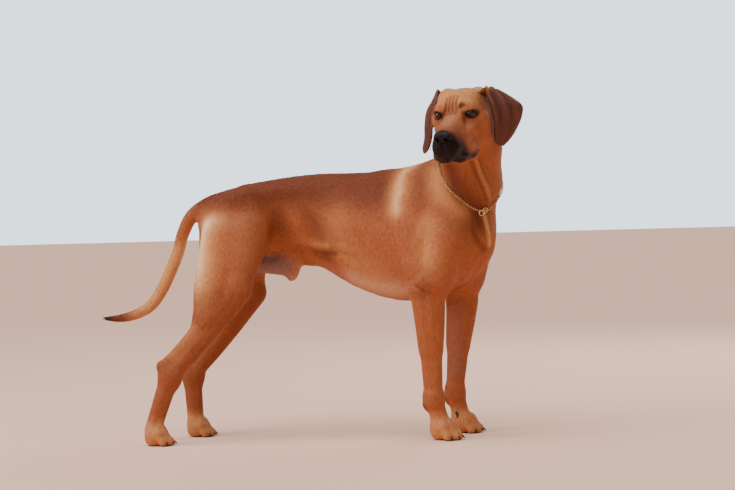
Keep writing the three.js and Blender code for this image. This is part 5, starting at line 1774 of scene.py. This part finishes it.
link = tube_ring(oval(*LINK_HALF, 16), LINK_WIRE, 7, "link")
path = bpy.data.curves.new("collar_path", "CURVE")
path.dimensions = "3D"
spline = path.splines.new("POLY")
round_neck = [chain_point(degrees, 0, CHAIN_LIFT)[0] for degrees in range(-180, 181, 10)]
collar = curve_through(round_neck, 289)[:-1] + STAND
spline.points.add(len(collar) - 1)
weighted = np.concatenate([collar, np.ones((len(collar), 1))], 1)
spline.points.foreach_set("co", weighted.astype(np.float32).ravel())
spline.use_cyclic_u = True
girdle = float(np.linalg.norm(np.roll(collar, -1, 0) - collar, axis=1).sum())
chain = placed("chain", path)


def chain_tree(link, finish):
    """Geometry nodes that set links along a curve, each turned a quarter from the last."""
    tree, node = geometry_tree("links", Links="Int")
    given = node("NodeGroupInput").outputs
    spaced = node("GeometryNodeResampleCurve", Curve=given["Geometry"], Count=given["Links"])
    along = node("FunctionNodeAlignRotationToVector", {"axis": "X"},
                 Vector=node("GeometryNodeInputTangent").outputs[0])
    order = node("GeometryNodeInputIndex").outputs[0]
    quarters = node("ShaderNodeMath", {"operation": "MULTIPLY"}, i0=order, i1=math.pi / 2)
    about = node("FunctionNodeAxisAngleToRotation", Axis=(1, 0, 0), Angle=quarters.outputs[0])
    rolled = node("FunctionNodeRotateRotation", {"rotation_space": "LOCAL"}, Rotation=along.outputs[0],
                  Rotate_By=about.outputs[0])
    one = node("GeometryNodeObjectInfo", Object=link).outputs["Geometry"]
    set_out = node("GeometryNodeInstanceOnPoints", Points=spaced.outputs[0], Instance=one,
                   Rotation=rolled.outputs[0])
    finished(node, set_out.outputs[0], finish)
    return tree


links_made = placed("collar_links", grown(chain, chain_tree(link, gilt.material),
                                          Links=2 * round(girdle / LINK_PITCH / 2)))
bpy.data.objects.remove(chain)
bpy.data.objects.remove(link)
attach(links_made, "root")
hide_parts("collar_chain")
for number, (turn, drop, out) in enumerate(RING_PLACES, 1):
    place, facing = chain_point(turn, drop - RING_RADIUS / 2, out)
    stood = np.array(Vector((0, 0, 1)).rotation_difference(Vector(facing)).to_matrix())
    hoop = np.array(oval(RING_RADIUS, RING_RADIUS, 48)) @ stood.T + place + STAND
    ring = tube_ring(hoop, RING_WIRE, 12, f"collar_end_ring_{number}")
    ring.data.materials.append(gilt.material)
    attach(ring, "root")
    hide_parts(f"collar_ring_{number}")
